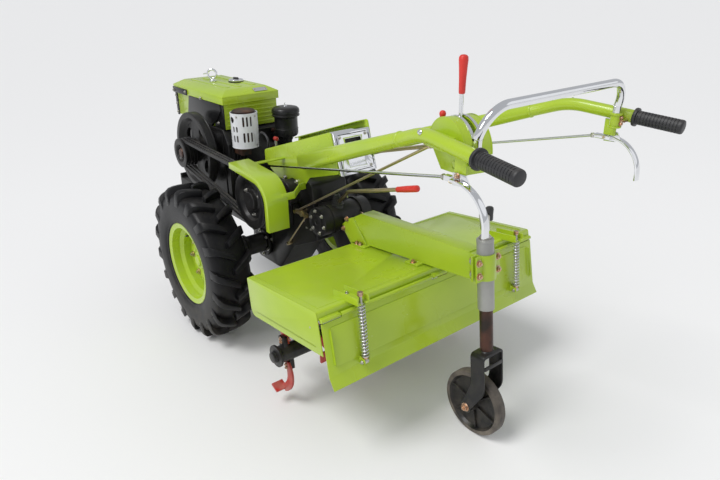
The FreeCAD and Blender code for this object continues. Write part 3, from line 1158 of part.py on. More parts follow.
holders, blades = make_blades()
core = shaped("rotor_solid", shaft.Shape.multiFuse([t.Shape for t in tubes] + holders))
finish("tiller_rotor", core, tiller=True)
finish("rotor_blades", shaped("blade_group", Part.makeCompound(blades)), tiller=True)

# Post with its clamp, crank and tail wheel
post = (s.post_x, 0)
post_outer = cylinder("post_outer", s.post_radius, (s.post_bottom, s.post_top), "Z", post)
post_bore = cylinder("post_bore", s.inner_post_radius + s.running_gap, (s.post_bottom - 1, s.post_top - 14),
                     "Z", post)
finish("post_tube", cut("post_tube", post_outer, post_bore), tiller=True)
clamp_span = (s.clamp_bottom, s.clamp_bottom + s.clamp_height)
half_clamp = s.clamp_half_width
clamp_ring = cylinder("clamp_ring", s.post_radius + s.clamp_wall, clamp_span, "Z", post)
clamp_ears = [
    box("clamp_ear_rear", (s.post_x - s.ear_gap - s.clamp_wall, s.post_x - s.ear_gap),
        (-half_clamp, half_clamp), clamp_span),
    box("clamp_ear_front", (s.post_x + s.ear_gap, s.post_x + s.ear_gap + s.clamp_wall),
        (-half_clamp, half_clamp), clamp_span),
]
clamp_block = box("clamp_block", (s.post_x + s.ear_gap, s.beam_rear), (-s.beam_half_width, s.beam_half_width),
                  clamp_span)
clamp_bore = cylinder("clamp_bore", s.post_radius, (s.clamp_bottom - 1, s.clamp_bottom + s.clamp_height + 1),
                      "Z", post)
finish("post_clamp", cut("post_clamp", fuse("clamp_fused", clamp_ring, *clamp_ears, clamp_block), clamp_bore),
       tiller=True)
crank_nut = doc.addObject("Part::Cone", "crank_nut")
for prop, value in (("Radius1", s.post_radius - 6), ("Radius2", 10), ("Height", 16)):
    bind(crank_nut, prop, value)
put(crank_nut, s.post_x, 0, s.post_top)
crank_stem = cylinder("crank_stem", 9, (s.post_top + 10, s.post_top + 30), "Z", post)
crank_plate = slab("crank_plate", [
    (s.post_x - 16, s.post_top + 22, 6), (s.post_x + 16, s.post_top + 22, 6),
    (s.post_x + 20, s.post_top + 74, 8),
    (s.post_x - 16, s.post_top + 74, 8),
], (-3, 3))
crank_pin = cylinder("crank_pin", 5, (-14, 6), "Y", (s.post_x - 4, s.post_top + 62))
knob = cylinder("knob", s.knob_radius, (s.crank_top - s.knob_length, s.crank_top), "Z", (s.post_x - 4, -16))
finish("post_crank", fuse("post_crank", crank_nut, crank_stem, crank_plate, crank_pin, knob), tiller=True)

# The fork reaches forward from the post to the tail wheel's axle
lean, turn = sine(s.tiller_pitch), cosine(s.tiller_pitch)
tail_dx, tail_dz = s.tail_x - s.rotor_x, s.tail_radius - s.rotor_z
hub_x = tail_dx * turn - tail_dz * lean
hub_z = tail_dx * lean + tail_dz * turn
inner_post = cylinder("inner_post", s.inner_post_radius, (s.fork_top - 2, s.post_top - 20), "Z", post)
half_fork = s.fork_half_width
crown_outline = [
    (-half_fork, s.fork_top - 60), (-half_fork, s.fork_top, s.fork_bend), (half_fork, s.fork_top, s.fork_bend),
    (half_fork, s.fork_top - 60), (half_fork - s.fork_wall, s.fork_top - 60),
    (half_fork - s.fork_wall, s.fork_top - s.crown_wall, s.fork_bend - s.fork_wall),
    (-half_fork + s.fork_wall, s.fork_top - s.crown_wall, s.fork_bend - s.fork_wall),
    (-half_fork + s.fork_wall, s.fork_top - 60),
]
yoke = slab("fork_yoke", crown_outline, (s.post_x - s.fork_reach, s.post_x + s.fork_reach), "YZ_Plane")
fork_sides = []
for side, way in (("left", 1), ("right", -1)):
    span = (half_fork - s.fork_wall, half_fork) if way > 0 else (-half_fork, -half_fork + s.fork_wall)
    arm = slab(f"fork_side_{side}", [
        (s.post_x - s.fork_reach, s.fork_top - 45), (s.post_x + s.fork_reach, s.fork_top - 45),
        (s.post_x + s.fork_reach, s.fork_top - 110, 40), (hub_x + s.hub_round, hub_z, 12),
        (hub_x - s.hub_round, hub_z, 12), (s.post_x - s.fork_reach, s.fork_top - 130, 60),
    ], span)
    fork_sides += [arm, cylinder(f"fork_end_{side}", s.hub_round, span, "Y", (hub_x, hub_z))]
fork_axle = cylinder("fork_axle", s.tail_axle, (-s.fork_half_width - 10, s.fork_half_width + 10), "Y",
                     (hub_x, hub_z))
finish("tail_fork", fuse("tail_fork", inner_post, yoke, *fork_sides, fork_axle), tiller=True)

tail = turned("tail_wheel_body", [
    (-s.tail_half_width - 16, s.tail_axle + 0.1), (-s.tail_half_width - 16, 22), (-6, 24),
    (-6, s.tail_radius - 22),
    (-s.tail_half_width, s.tail_radius - 16), (-s.tail_half_width, s.tail_radius, 8),
    (s.tail_half_width, s.tail_radius, 8), (s.tail_half_width, s.tail_radius - 16), (6, s.tail_radius - 22),
    (6, 24), (s.tail_half_width + 16, 22), (s.tail_half_width + 16, s.tail_axle + 0.1),
])
finish("tail_wheel", tail, move=False)
put(tail, s.axle_x + s.tail_x, 0, s.tail_radius)

doc.recompute()
bad = [o.Label for o in doc.Objects if "Invalid" in o.State or "Error" in o.State]
for piece in finished:
    if piece.Shape.isNull() or not piece.Shape.isValid() or not piece.Shape.Solids:
        bad.append(piece.Label)
if bad:
    raise RuntimeError("failed: " + ", ".join(bad))

os.makedirs("parts", exist_ok=True)
for piece in finished:
    piece.Shape.exportStep(f"parts/{piece.Label}.step")
whole = FreeCAD.BoundBox()
for piece in finished:
    whole.add(piece.Shape.BoundBox)
print("box", [round(v, 2) for v in (whole.XMin, whole.XMax, whole.YMin, whole.YMax, whole.ZMin, whole.ZMax)])
print("sub-parts", len(finished))
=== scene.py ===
import json
import math

import bpy
from mathutils import Matrix, Vector


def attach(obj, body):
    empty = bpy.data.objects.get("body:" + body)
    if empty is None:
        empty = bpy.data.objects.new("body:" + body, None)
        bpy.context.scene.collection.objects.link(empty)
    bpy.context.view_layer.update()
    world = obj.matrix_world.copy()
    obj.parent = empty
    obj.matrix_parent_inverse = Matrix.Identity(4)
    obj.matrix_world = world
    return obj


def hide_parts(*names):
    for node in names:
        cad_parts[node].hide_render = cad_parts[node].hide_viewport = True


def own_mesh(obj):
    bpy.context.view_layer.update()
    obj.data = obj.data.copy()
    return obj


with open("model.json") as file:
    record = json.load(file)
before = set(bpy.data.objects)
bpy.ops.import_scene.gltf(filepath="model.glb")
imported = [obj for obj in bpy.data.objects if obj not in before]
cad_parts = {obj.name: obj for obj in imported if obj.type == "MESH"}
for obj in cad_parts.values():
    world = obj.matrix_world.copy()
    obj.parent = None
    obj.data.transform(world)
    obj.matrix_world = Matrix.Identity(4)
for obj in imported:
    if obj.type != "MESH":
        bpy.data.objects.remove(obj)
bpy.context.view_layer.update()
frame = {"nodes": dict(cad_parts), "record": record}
nodes = frame["nodes"]
bodyOf = {node: body for body, members in frame["record"]["behaviour"]["bodies"].items() for node in members}
slotOf = {part["node"]: part["material_slot"] for part in frame["record"]["subparts"]}
sides = (("left", 1), ("right", -1))

# Places are in millimetres from the point on the ground under the drive axle, as on the drawing. Pieces of
# the tiller are drawn level and pitched with it afterwards.
axleAhead = 426
tillerPlace = {"x": -661, "z": 214, "pitch": 6}
tillerFrame = Matrix.Translation((tillerPlace["x"], 0, tillerPlace["z"])) @ Matrix.Rotation(
    math.radians(tillerPlace["pitch"]), 4, "Y")
toMetres = Matrix.Scale(0.001, 4) @ Matrix.Translation((axleAhead, 0, 0))


# Surfaces

def newGroup(name, inputs, outputs):
    # inputs: label to its plain value, and a tuple is a colour; outputs: label to its kind
    group = bpy.data.node_groups.new(name, "ShaderNodeTree")
    for label, value in inputs.items():
        kind = "NodeSocketColor" if isinstance(value, tuple) else "NodeSocketFloat"
        group.interface.new_socket(name=label, in_out="INPUT", socket_type=kind).default_value = value
    for label, kind in outputs.items():
        group.interface.new_socket(name=label, in_out="OUTPUT", socket_type=f"NodeSocket{kind}")
    return group, group.nodes.new("NodeGroupInput").outputs


def giveOut(group, results):
    out = group.nodes.new("NodeGroupOutput")
    for label, socket in results.items():
        group.links.new(socket, out.inputs[label])
    return group


def addNode(tree, kind, links=None, **settings):
    # links: input name or number to a socket or a plain value
    node = tree.nodes.new(kind)
    for label, value in settings.items():
        setattr(node, label, value)
    for label, value in (links or {}).items():
        socket = node.inputs[label]
        if isinstance(value, bpy.types.NodeSocket):
            tree.links.new(value, socket)
        else:
            socket.default_value = value
    return node


def calculated(tree, operation, first, second, clamped=False):
    return addNode(tree, "ShaderNodeMath", {0: first, 1: second}, operation=operation,
                   use_clamp=clamped).outputs[0]


def ranged(tree, value, limits):
    return addNode(tree, "ShaderNodeMapRange", {"Value": value, **limits}).outputs["Result"]


def blended(tree, share, first, second):
    return addNode(tree, "ShaderNodeMix", {0: share, 6: first, 7: second}, data_type="RGBA").outputs[2]


def noiseAt(tree, scale, detail=3.0, stretch=(1, 1, 1)):
    place = addNode(tree, "ShaderNodeTexCoord").outputs["Object"]
    turned = addNode(tree, "ShaderNodeMapping", {"Vector": place, "Scale": stretch}).outputs["Vector"]
    return addNode(tree, "ShaderNodeTexNoise",
                   {"Vector": turned, "Scale": scale, "Detail": detail}).outputs["Fac"]


grey = (0.5, 0.5, 0.5, 1)
dustColour = (0.42, 0.36, 0.28, 1)
colourAndMask = {"Colour": "Color", "Mask": "Float"}


def colourDrift():
    # slow change of shade over a surface
    group, given = newGroup("colourDrift",
                            {"Colour": grey, "Shade": grey, "Scale": 6.0, "Amount": 0.5}, colourAndMask)
    steep = ranged(group, noiseAt(group, given["Scale"], 4.0), {"From Min": 0.35, "From Max": 0.68})
    share = calculated(group, "MULTIPLY", steep, given["Amount"])
    return giveOut(group, {"Colour": blended(group, share, given["Colour"], given["Shade"]), "Mask": steep})


def dustCover():
    # dust lies on faces that look up and gathers near the ground
    group, given = newGroup("dustCover",
                            {"Colour": grey, "Dust": dustColour, "Amount": 0.3, "Reach": 0.35}, colourAndMask)
    place = addNode(group, "ShaderNodeTexCoord").outputs["Object"]
    height = addNode(group, "ShaderNodeSeparateXYZ", {0: place}).outputs["Z"]
    low = ranged(group, height, {"From Min": given["Reach"], "From Max": 0.0})
    normal = addNode(group, "ShaderNodeNewGeometry").outputs["Normal"]
    facing = addNode(group, "ShaderNodeSeparateXYZ", {0: normal}).outputs["Z"]
    lying = ranged(group, facing, {"From Min": 0.3, "To Max": 0.35})
    patchy = ranged(group, noiseAt(group, 28.0, 6.0), {"From Min": 0.36, "From Max": 0.66})
    spread = calculated(group, "MULTIPLY", calculated(group, "ADD", low, lying), patchy)
    mask = calculated(group, "MULTIPLY", spread, given["Amount"], True)
    return giveOut(group, {"Colour": blended(group, mask, given["Colour"], given["Dust"]), "Mask": mask})


def fineGrain():
    # two sizes of bump: the casting or spray texture, and slow waves of the sheet under it
    group, given = newGroup("fineGrain", {"Scale": 400.0, "Depth": 0.2, "Wave": 0.1}, {"Normal": "Vector"})
    small, large = noiseAt(group, given["Scale"], 2.0), noiseAt(group, 14.0, 1.0)
    wave = addNode(group, "ShaderNodeBump", {"Strength": given["Wave"], "Distance": 0.004, "Height": large})
    bump = addNode(group, "ShaderNodeBump", {"Strength": given["Depth"], "Distance": 0.0006, "Height": small,
                                             "Normal": wave.outputs["Normal"]})
    return giveOut(group, {"Normal": bump.outputs["Normal"]})


def scuffMarks():
    # thin scratches and small chips
    group, given = newGroup("scuffMarks", {"Colour": grey, "Bare": grey, "Amount": 0.2}, colourAndMask)
    fine = ranged(group, noiseAt(group, 60.0, 2.0, (9, 1, 0.6)), {"From Min": 0.70, "From Max": 0.74})
    where = ranged(group, noiseAt(group, 9.0, 2.0), {"From Min": 0.55, "From Max": 0.7})
    mask = calculated(group, "MULTIPLY", calculated(group, "MULTIPLY", fine, where), given["Amount"], True)
    return giveOut(group, {"Colour": blended(group, mask, given["Colour"], given["Bare"]), "Mask": mask})


effects = {"drift": colourDrift(), "dust": dustCover(), "grain": fineGrain(), "scuff": scuffMarks()}


def useEffect(tree, name, links):
    return addNode(tree, "ShaderNodeGroup", links, node_tree=effects[name]).outputs


# colour, its second shade, drift (scale, amount), roughness (clean, worn), grain (scale, depth, wave), dust
# and scuffs from 0 to 1, and the bare colour under a scuff; metal, coat and shine where they aren't plain
plainLook = dict(metal=0, coat=0.0, shine=0.5)
coatRoughness = 0.12
smudgeShare = 0.25
finishes = {
    "limePaint": dict(colour=(0.41, 0.56, 0.022), shade=(0.33, 0.49, 0.02), drift=(5, 0.5), rough=(0.26, 0.5),
                      coat=0.3, grain=(520, 0.10, 0.06), dust=0.16, scuff=0.25, bare=(0.60, 0.68, 0.30)),
    "blackPaint": dict(colour=(0.008, 0.008, 0.0085), shade=(0.02, 0.02, 0.021), drift=(12, 0.6),
                       rough=(0.3, 0.6), shine=0.3, coat=0.12, grain=(420, 0.2, 0.08), dust=0.1, scuff=0.2,
                       bare=(0.12, 0.11, 0.10)),
    "blackCasting": dict(colour=(0.007, 0.007, 0.0075), shade=(0.018, 0.017, 0.016), drift=(16, 0.8),
                         rough=(0.34, 0.6), shine=0.25, coat=0.1, grain=(260, 0.75, 0.25), dust=0.12, scuff=0.1,
                         bare=(0.10, 0.09, 0.08)),
    "whitePaint": dict(colour=(0.78, 0.79, 0.80), shade=(0.66, 0.67, 0.69), drift=(30, 0.5), rough=(0.35, 0.6),
                       coat=0.1, grain=(500, 0.15, 0.08), dust=0.25, scuff=0.3, bare=(0.30, 0.26, 0.22)),
    "redPaint": dict(colour=(0.50, 0.030, 0.022), shade=(0.36, 0.024, 0.018), drift=(22, 0.7),
                     rough=(0.36, 0.65), coat=0.15, grain=(300, 0.4, 0.1), dust=0.3, scuff=0.7,
                     bare=(0.16, 0.12, 0.10)),
    "redRubber": dict(colour=(0.70, 0.035, 0.022), shade=(0.58, 0.028, 0.02), drift=(30, 0.5),
                      rough=(0.34, 0.5), grain=(700, 0.12, 0.02), dust=0.1, scuff=0.1, bare=(0.75, 0.2, 0.15)),
    "greyPaint": dict(colour=(0.36, 0.36, 0.34), shade=(0.28, 0.28, 0.27), drift=(20, 0.6), rough=(0.38, 0.6),
                      metal=0.35, grain=(380, 0.25, 0.08), dust=0.2, scuff=0.4, bare=(0.55, 0.55, 0.54)),
    "sootySteel": dict(colour=(0.018, 0.014, 0.012), shade=(0.13, 0.045, 0.018), drift=(26, 0.7),
                       rough=(0.6, 0.8), metal=0.1, grain=(240, 0.8, 0.2), dust=0.2, scuff=0.2,
                       bare=(0.14, 0.08, 0.05)),
    "oiledSteel": dict(colour=(0.03, 0.022, 0.018), shade=(0.11, 0.045, 0.03), drift=(24, 0.8),
                       rough=(0.34, 0.6), metal=0.6, grain=(320, 0.5, 0.1), dust=0.5, scuff=0.3,
                       bare=(0.2, 0.18, 0.15)),
    "chromePlate": dict(colour=(0.80, 0.81, 0.83), shade=(0.72, 0.73, 0.75), drift=(20, 0.4),
                        rough=(0.06, 0.18), metal=1, grain=(900, 0.03, 0.02), dust=0.12, scuff=0.1,
                        bare=(0.6, 0.58, 0.55)),
    "zincPlate": dict(colour=(0.56, 0.55, 0.52), shade=(0.46, 0.44, 0.38), drift=(35, 0.7), rough=(0.3, 0.5),
                      metal=1, grain=(600, 0.2, 0.05), dust=0.2, scuff=0.2, bare=(0.4, 0.36, 0.3)),
    "goldZinc": dict(colour=(0.62, 0.50, 0.26), shade=(0.50, 0.42, 0.30), drift=(60, 0.9), rough=(0.28, 0.5),
                     metal=1, grain=(600, 0.25, 0.05), dust=0.2, scuff=0.2, bare=(0.45, 0.4, 0.3)),
    "copperZinc": dict(colour=(0.60, 0.34, 0.20), shade=(0.55, 0.46, 0.38), drift=(60, 0.9), rough=(0.3, 0.5),
                       metal=1, grain=(600, 0.25, 0.05), dust=0.2, scuff=0.2, bare=(0.45, 0.4, 0.3)),
    "tyreRubber": dict(colour=(0.005, 0.0051, 0.006), shade=(0.011, 0.011, 0.012), drift=(14, 0.8),
                       rough=(0.36, 0.6), shine=0.22, grain=(330, 0.45, 0.15), dust=0.09, scuff=0.1,
                       bare=(0.05, 0.05, 0.05)),
    "gripRubber": dict(colour=(0.018, 0.018, 0.020), shade=(0.03, 0.03, 0.032), drift=(30, 0.6),
                       rough=(0.42, 0.6), grain=(800, 0.3, 0.05), dust=0.2, scuff=0.1, bare=(0.06, 0.06, 0.06)),
    "wheelRubber": dict(colour=(0.038, 0.032, 0.028), shade=(0.075, 0.062, 0.05), drift=(18, 0.9),
                        rough=(0.55, 0.8), grain=(300, 0.5, 0.15), dust=0.35, scuff=0.3,
                        bare=(0.16, 0.15, 0.14)),
    "beltRubber": dict(colour=(0.016, 0.016, 0.018), shade=(0.04, 0.038, 0.036), drift=(30, 0.7),
                       rough=(0.5, 0.75), grain=(500, 0.5, 0.05), dust=0.3, scuff=0.2, bare=(0.07, 0.07, 0.07)),
    "darkPlastic": dict(colour=(0.02, 0.02, 0.022), shade=(0.03, 0.03, 0.03), drift=(30, 0.5), rough=(0.3, 0.5),
                        grain=(700, 0.15, 0.02), dust=0.15, scuff=0.1, bare=(0.08, 0.08, 0.08)),
    "silverPlate": dict(colour=(0.66, 0.67, 0.68), shade=(0.56, 0.57, 0.58), drift=(24, 0.5), rough=(0.2, 0.4),
                        metal=0.9, grain=(700, 0.12, 0.04), dust=0.15, scuff=0.25, bare=(0.5, 0.5, 0.5)),
}


def makeFinish(name, look):
    look = {**plainLook, **look}
    material = bpy.data.materials.new(name)
    material.use_nodes = True
    tree = material.node_tree
    drift = useEffect(tree, "drift", {"Colour": (*look["colour"], 1), "Shade": (*look["shade"], 1),
                                      "Scale": float(look["drift"][0]), "Amount": look["drift"][1]})
    scuff = useEffect(tree, "scuff",
                      {"Colour": drift["Colour"], "Bare": (*look["bare"], 1), "Amount": look["scuff"]})
    dust = useEffect(tree, "dust", {"Colour": scuff["Colour"], "Amount": look["dust"]})
    scale, depth, wave = look["grain"]
    grain = useEffect(tree, "grain", {"Scale": float(scale), "Depth": depth, "Wave": wave})
    worn = calculated(tree, "MAXIMUM", scuff["Mask"], dust["Mask"])
    wear = calculated(tree, "ADD", worn, calculated(tree, "MULTIPLY", drift["Mask"], smudgeShare), True)
    clean, rubbed = look["rough"]
    inputs = tree.nodes["Principled BSDF"].inputs
    tree.links.new(dust["Colour"], inputs["Base Color"])
    tree.links.new(ranged(tree, wear, {"To Min": clean, "To Max": rubbed}), inputs["Roughness"])
    tree.links.new(grain["Normal"], inputs["Normal"])
    for label, value in (("Metallic", look["metal"]), ("Specular IOR Level", look["shine"]),
                         ("Coat Weight", look["coat"]), ("Coat Roughness", coatRoughness)):
        inputs[label].default_value = value
    return material


materials = {name: makeFinish(name, look) for name, look in finishes.items()}
slotFinish = {
    "tyre_rubber": "tyreRubber", "green_paint": "limePaint", "black_paint": "blackPaint",
    "engine_casting": "blackCasting", "black_casting": "blackCasting", "white_paint": "whitePaint",
    "red_paint": "redPaint", "grey_paint": "greyPaint", "sooty_steel": "sootySteel",
    "chrome_plate": "chromePlate", "zinc_plate": "zincPlate", "black_rubber": "gripRubber",
    "red_plastic": "redRubber", "belt_rubber": "beltRubber",
}
finishSlot = {finish: slot for slot, finish in slotFinish.items()}
finishSlot.update({"goldZinc": "zinc_plate", "copperZinc": "zinc_plate", "wheelRubber": "black_rubber",
                   "darkPlastic": "black_rubber", "silverPlate": "zinc_plate", "oiledSteel": "black_paint",
                   "blackCasting": "black_casting"})
for node, piece in nodes.items():
    piece.data.materials.clear()
    piece.data.materials.append(materials[slotFinish[slotOf[node]]])
print("surfaces ready")


# Modelling by hand: everything is deselected first, then picked by its place

def deselectAll():
    if bpy.context.object and bpy.context.object.mode != "OBJECT":
        bpy.ops.object.mode_set(mode="OBJECT")
    bpy.ops.object.select_all(action="DESELECT")


def focusOn(*pieces):
    deselectAll()
    for piece in pieces:
        piece.select_set(True)
    bpy.context.view_layer.objects.active = pieces[0]


def selectAll():
    bpy.ops.mesh.select_all(action="SELECT")


def editAll(piece):
    focusOn(piece)
    bpy.ops.object.mode_set(mode="EDIT")
    selectAll()


def applyPlace():
    bpy.ops.object.transform_apply(location=True, rotation=True, scale=True)


def extrude(move):
    bpy.ops.mesh.extrude_region_move(TRANSFORM_OT_translate={"value": move})


def rotation(degrees, axis):
    return Matrix.Rotation(math.radians(degrees), 4, axis)


def pick(piece, kind, test):
    # selects vertices, edges or faces of the piece by a test on their middle, and stays in edit mode
    focusOn(piece)
    mesh = piece.data
    bpy.ops.object.mode_set(mode="EDIT")
    bpy.ops.mesh.select_mode(type={"vertices": "VERT", "edges": "EDGE", "polygons": "FACE"}[kind])
    bpy.ops.mesh.select_all(action="DESELECT")
    bpy.ops.object.mode_set(mode="OBJECT")
    for part in getattr(mesh, kind):
        if kind == "vertices":
            part.select = test(part.co)
        elif kind == "edges":
            ends = [mesh.vertices[v].co for v in part.vertices]
            part.select = test((ends[0] + ends[1]) / 2, ends[1] - ends[0])
        else:
            part.select = test(part.center, part.normal)
    bpy.ops.object.mode_set(mode="EDIT")


def startPoint(name, place):
    deselectAll()
    bpy.ops.mesh.primitive_plane_add(size=1)
    piece = bpy.context.object
    piece.name = name
    bpy.ops.object.mode_set(mode="EDIT")
    bpy.ops.mesh.select_mode(type="VERT")
    bpy.ops.mesh.merge(type="CENTER")
    bpy.ops.transform.translate(value=place)
    return piece


def drawThrough(points):
    for here, there in zip(points, points[1:]):
        extrude(Vector(there) - Vector(here))


def tidyMesh(piece, doubles=0.001):
    editAll(piece)
    bpy.ops.mesh.remove_doubles(threshold=doubles)
    bpy.ops.mesh.normals_make_consistent(inside=False)
    deselectAll()


def roundEdges(piece, width, segments=2, angle=30):
    focusOn(piece)
    bevel = piece.modifiers.new("edges", "BEVEL")
    bevel.width = width
    bevel.segments = segments
    bevel.limit_method = "ANGLE"
    bevel.angle_limit = math.radians(angle)
    bpy.ops.object.modifier_apply(modifier=bevel.name)


# radius down to which a turned solid piece closes
core = 0.5


def filled(outline):
    # closes a turned outline down to the core at both ends
    return [(outline[0][0], core), *outline, (outline[-1][0], core)]


def mirrored(way, outline):
    return [(way * at, radius) for at, radius in outline]


def swept(name, points, centre, axis, steps, angle=2 * math.pi, closed=False):
    # a profile through points, turned round an axis
    piece = startPoint(name, points[0])
    drawThrough(points)
    selectAll()
    if closed:
        bpy.ops.mesh.remove_doubles(threshold=0.01)
    bpy.ops.mesh.spin(steps=steps, angle=angle, center=centre, axis=axis)
    tidyMesh(piece, 0.01)
    return piece


def spun(name, outline, centre=(0, 0, 0), axis="Y", steps=64):
    # outline: pairs (along the axis, radius), turned once round the axis through centre
    ahead = {"X": Vector((1, 0, 0)), "Y": Vector((0, 1, 0)), "Z": Vector((0, 0, 1))}[axis]
    outward = Vector((1, 0, 0)) if axis == "Z" else Vector((0, 0, 1))
    points = [Vector(centre) + ahead * along + outward * radius for along, radius in outline]
    return swept(name, points, centre, ahead, steps)


def plate(name, corners, depth):
    # corners: points in space round a flat outline; depth: a vector that gives its thickness
    piece = startPoint(name, corners[0])
    drawThrough(corners)
    selectAll()
    bpy.ops.mesh.edge_face_add()
    extrude(depth)
    tidyMesh(piece, 0.01)
    return piece


def block(name, low, high, edge=1.0):
    # low and high are opposite corners, in either order
    deselectAll()
    middle = [(a + b) / 2 for a, b in zip(low, high)]
    bpy.ops.mesh.primitive_cube_add(size=1, location=middle, scale=[abs(b - a) for a, b in zip(low, high)])
    piece = bpy.context.object
    piece.name = name
    applyPlace()
    if edge:
        roundEdges(piece, edge)
    return piece


def tube(name, points, radius, order=3, sides=4):
    # a bent round bar or wire along its points
    deselectAll()
    bpy.ops.curve.primitive_nurbs_path_add()
    piece = bpy.context.object
    piece.name = name
    piece.data.splines.clear()
    spline = piece.data.splines.new("NURBS")
    spline.points.add(len(points) - 1)
    for control, point in zip(spline.points, points):
        control.co = (*point, 1)
    spline.order_u = order
    spline.use_endpoint_u = True
    spline.resolution_u = 8
    piece.data.bevel_depth = radius
    piece.data.bevel_resolution = sides
    piece.data.use_fill_caps = True
    bpy.ops.object.convert(target="MESH")
    return bpy.context.object


def joined(name, pieces):
    focusOn(*pieces)
    if len(pieces) > 1:
        bpy.ops.object.join()
    whole = bpy.context.object
    whole.name = name
    return whole


def repeated(pattern, matrix):
    copy = pattern.copy()
    copy.data = pattern.data.copy()
    copy.hide_render = False
    bpy.context.collection.objects.link(copy)
    copy.data.transform(matrix)
    if matrix.determinant() < 0:
        copy.data.flip_normals()
    return copy


def turned(piece, degrees, axis, place=(0, 0, 0)):
    # turns a piece drawn at the origin and sets it at its place
    piece.data.transform(Matrix.Translation(place) @ rotation(degrees, axis))
    return piece


def cutOut(piece, cutters):
    holes = joined("holes", cutters)
    focusOn(piece)
    cut = piece.modifiers.new("cut", "BOOLEAN")
    cut.object = holes
    cut.solver = "EXACT"
    bpy.ops.object.modifier_apply(modifier=cut.name)
    dropPiece(holes)


def roundPlaces(x, y, z, radius, turns):
    # places on an upright circle; turns in degrees from straight ahead
    return [(x + radius * math.cos(math.radians(a)), y, z + radius * math.sin(math.radians(a))) for a in turns]


def ringOutline(low, height, inner, outer, ease, closed=True):
    # a ring of rectangular section with its outer corners eased; ease: along the axis, across it
    along, across = ease
    outline = [(low, inner), (low, outer - across), (low + along, outer), (low + height - along, outer),
               (low + height, outer - across), (low + height, inner)]
    return outline + outline[:1] if closed else outline


def dropPiece(piece):
    mesh = piece.data
    bpy.data.objects.remove(piece)
    bpy.data.meshes.remove(mesh)


def finishPiece(piece, finish, angle=35, tiller=False, body="machine", stands=()):
    # colours, smooths and scales a drawn piece, and gives it to the body that it moves with
    if tiller:
        piece.data.transform(tillerFrame)
    piece.data.transform(toMetres)
    focusOn(piece)
    bpy.ops.object.shade_smooth_by_angle(angle=math.radians(angle))
    piece.data.materials.clear()
    piece.data.materials.append(materials[finish])
    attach(piece, body)
    if stands:
        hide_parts(*stands)


def softened(node, width, finish=None, angle=32, smooth=38):
    # a pressed, welded or cast part: the solid with its corners eased
    source = nodes[node]
    piece = source.copy()
    piece.data = source.data.copy()
    piece.name = f"{node}_shell"
    for key in [key for key in piece.keys() if key.startswith("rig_")]:
        del piece[key]
    piece.parent = None
    bpy.context.collection.objects.link(piece)
    editAll(piece)
    bpy.ops.mesh.remove_doubles(threshold=0.00003)
    bpy.ops.mesh.dissolve_limited(angle_limit=math.radians(0.6))
    deselectAll()
    if width:
        roundEdges(piece, width / 1000, 2, angle)
    focusOn(piece)
    bpy.ops.object.shade_smooth_by_angle(angle=math.radians(smooth))
    name = finish or slotFinish[slotOf[node]]
    piece.data.materials.clear()
    piece.data.materials.append(materials[name])
    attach(piece, bodyOf[node])
    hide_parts(node)
    return piece


# Bolts: one head, washer and thread end, modelled once

def boltPattern():
    deselectAll()
    bpy.ops.mesh.primitive_cylinder_add(vertices=6, radius=1, depth=0.75, location=(0, 0, 0.55))
    head = bpy.context.object
    roundEdges(head, 0.09, 2)
    bpy.ops.mesh.primitive_cylinder_add(vertices=20, radius=1.35, depth=0.2, location=(0, 0, 0.1))
    washer = bpy.context.object
    roundEdges(washer, 0.05, 1)
    bpy.ops.mesh.primitive_cylinder_add(vertices=12, radius=0.52, depth=0.5, location=(0, 0, 1.1))
    thread = bpy.context.object
    roundEdges(thread, 0.09, 1)
    for piece in (head, washer, thread):
        focusOn(piece)
        applyPlace()
    return joined("boltPattern", [head, washer, thread])


bolt = boltPattern()
bolt.hide_render = True


def aimed(place, direction, size):
    turn = Vector((0, 0, 1)).rotation_difference(Vector(direction))
    return Matrix.Translation(place) @ turn.to_matrix().to_4x4() @ Matrix.Scale(size, 4)


def boltsAt(name, places, direction, size, finish="zincPlate", tiller=False, body="machine"):
    # size is the head's radius; every bolt sits with its washer on the surface at its place
    copies = [repeated(bolt, aimed(place, direction, size)) for place in places]
    finishPiece(joined(name, copies), finish, 30, tiller, body)


# Floor, light and camera

stage = {
    "floor": (0.90, 0.895, 0.885), "roughness": 0.9, "span": 400, "world": (0.94, 0.96, 1.0),
    "worldStrength": 0.54, "sunFrom": (100, 1900, 3600), "sunAim": (-200, 0, 400), "sunStrength": 1.5,
    "sunAngle": 24,
}
cameraSet = {"place": (-2186.6, 1280.0, 1371.3), "heading": -38.38, "down": 23.2, "roll": -0.8, "lens": 30.3}
# place of each lamp and of what it lights, its size and its power
lamps = {
    "keySide": dict(place=(-1200, 3900, 2900), aim=(-200, 0, 500), size=1.8, power=30),
    "fillSide": dict(place=(-3300, -2600, 2400), aim=(-400, 0, 500), size=2.4, power=6),
}


def toScene(place):
    return toMetres @ Vector(place)


def facing(place, aim):
    return (aim - place).to_track_quat("-Z", "Y").to_euler()


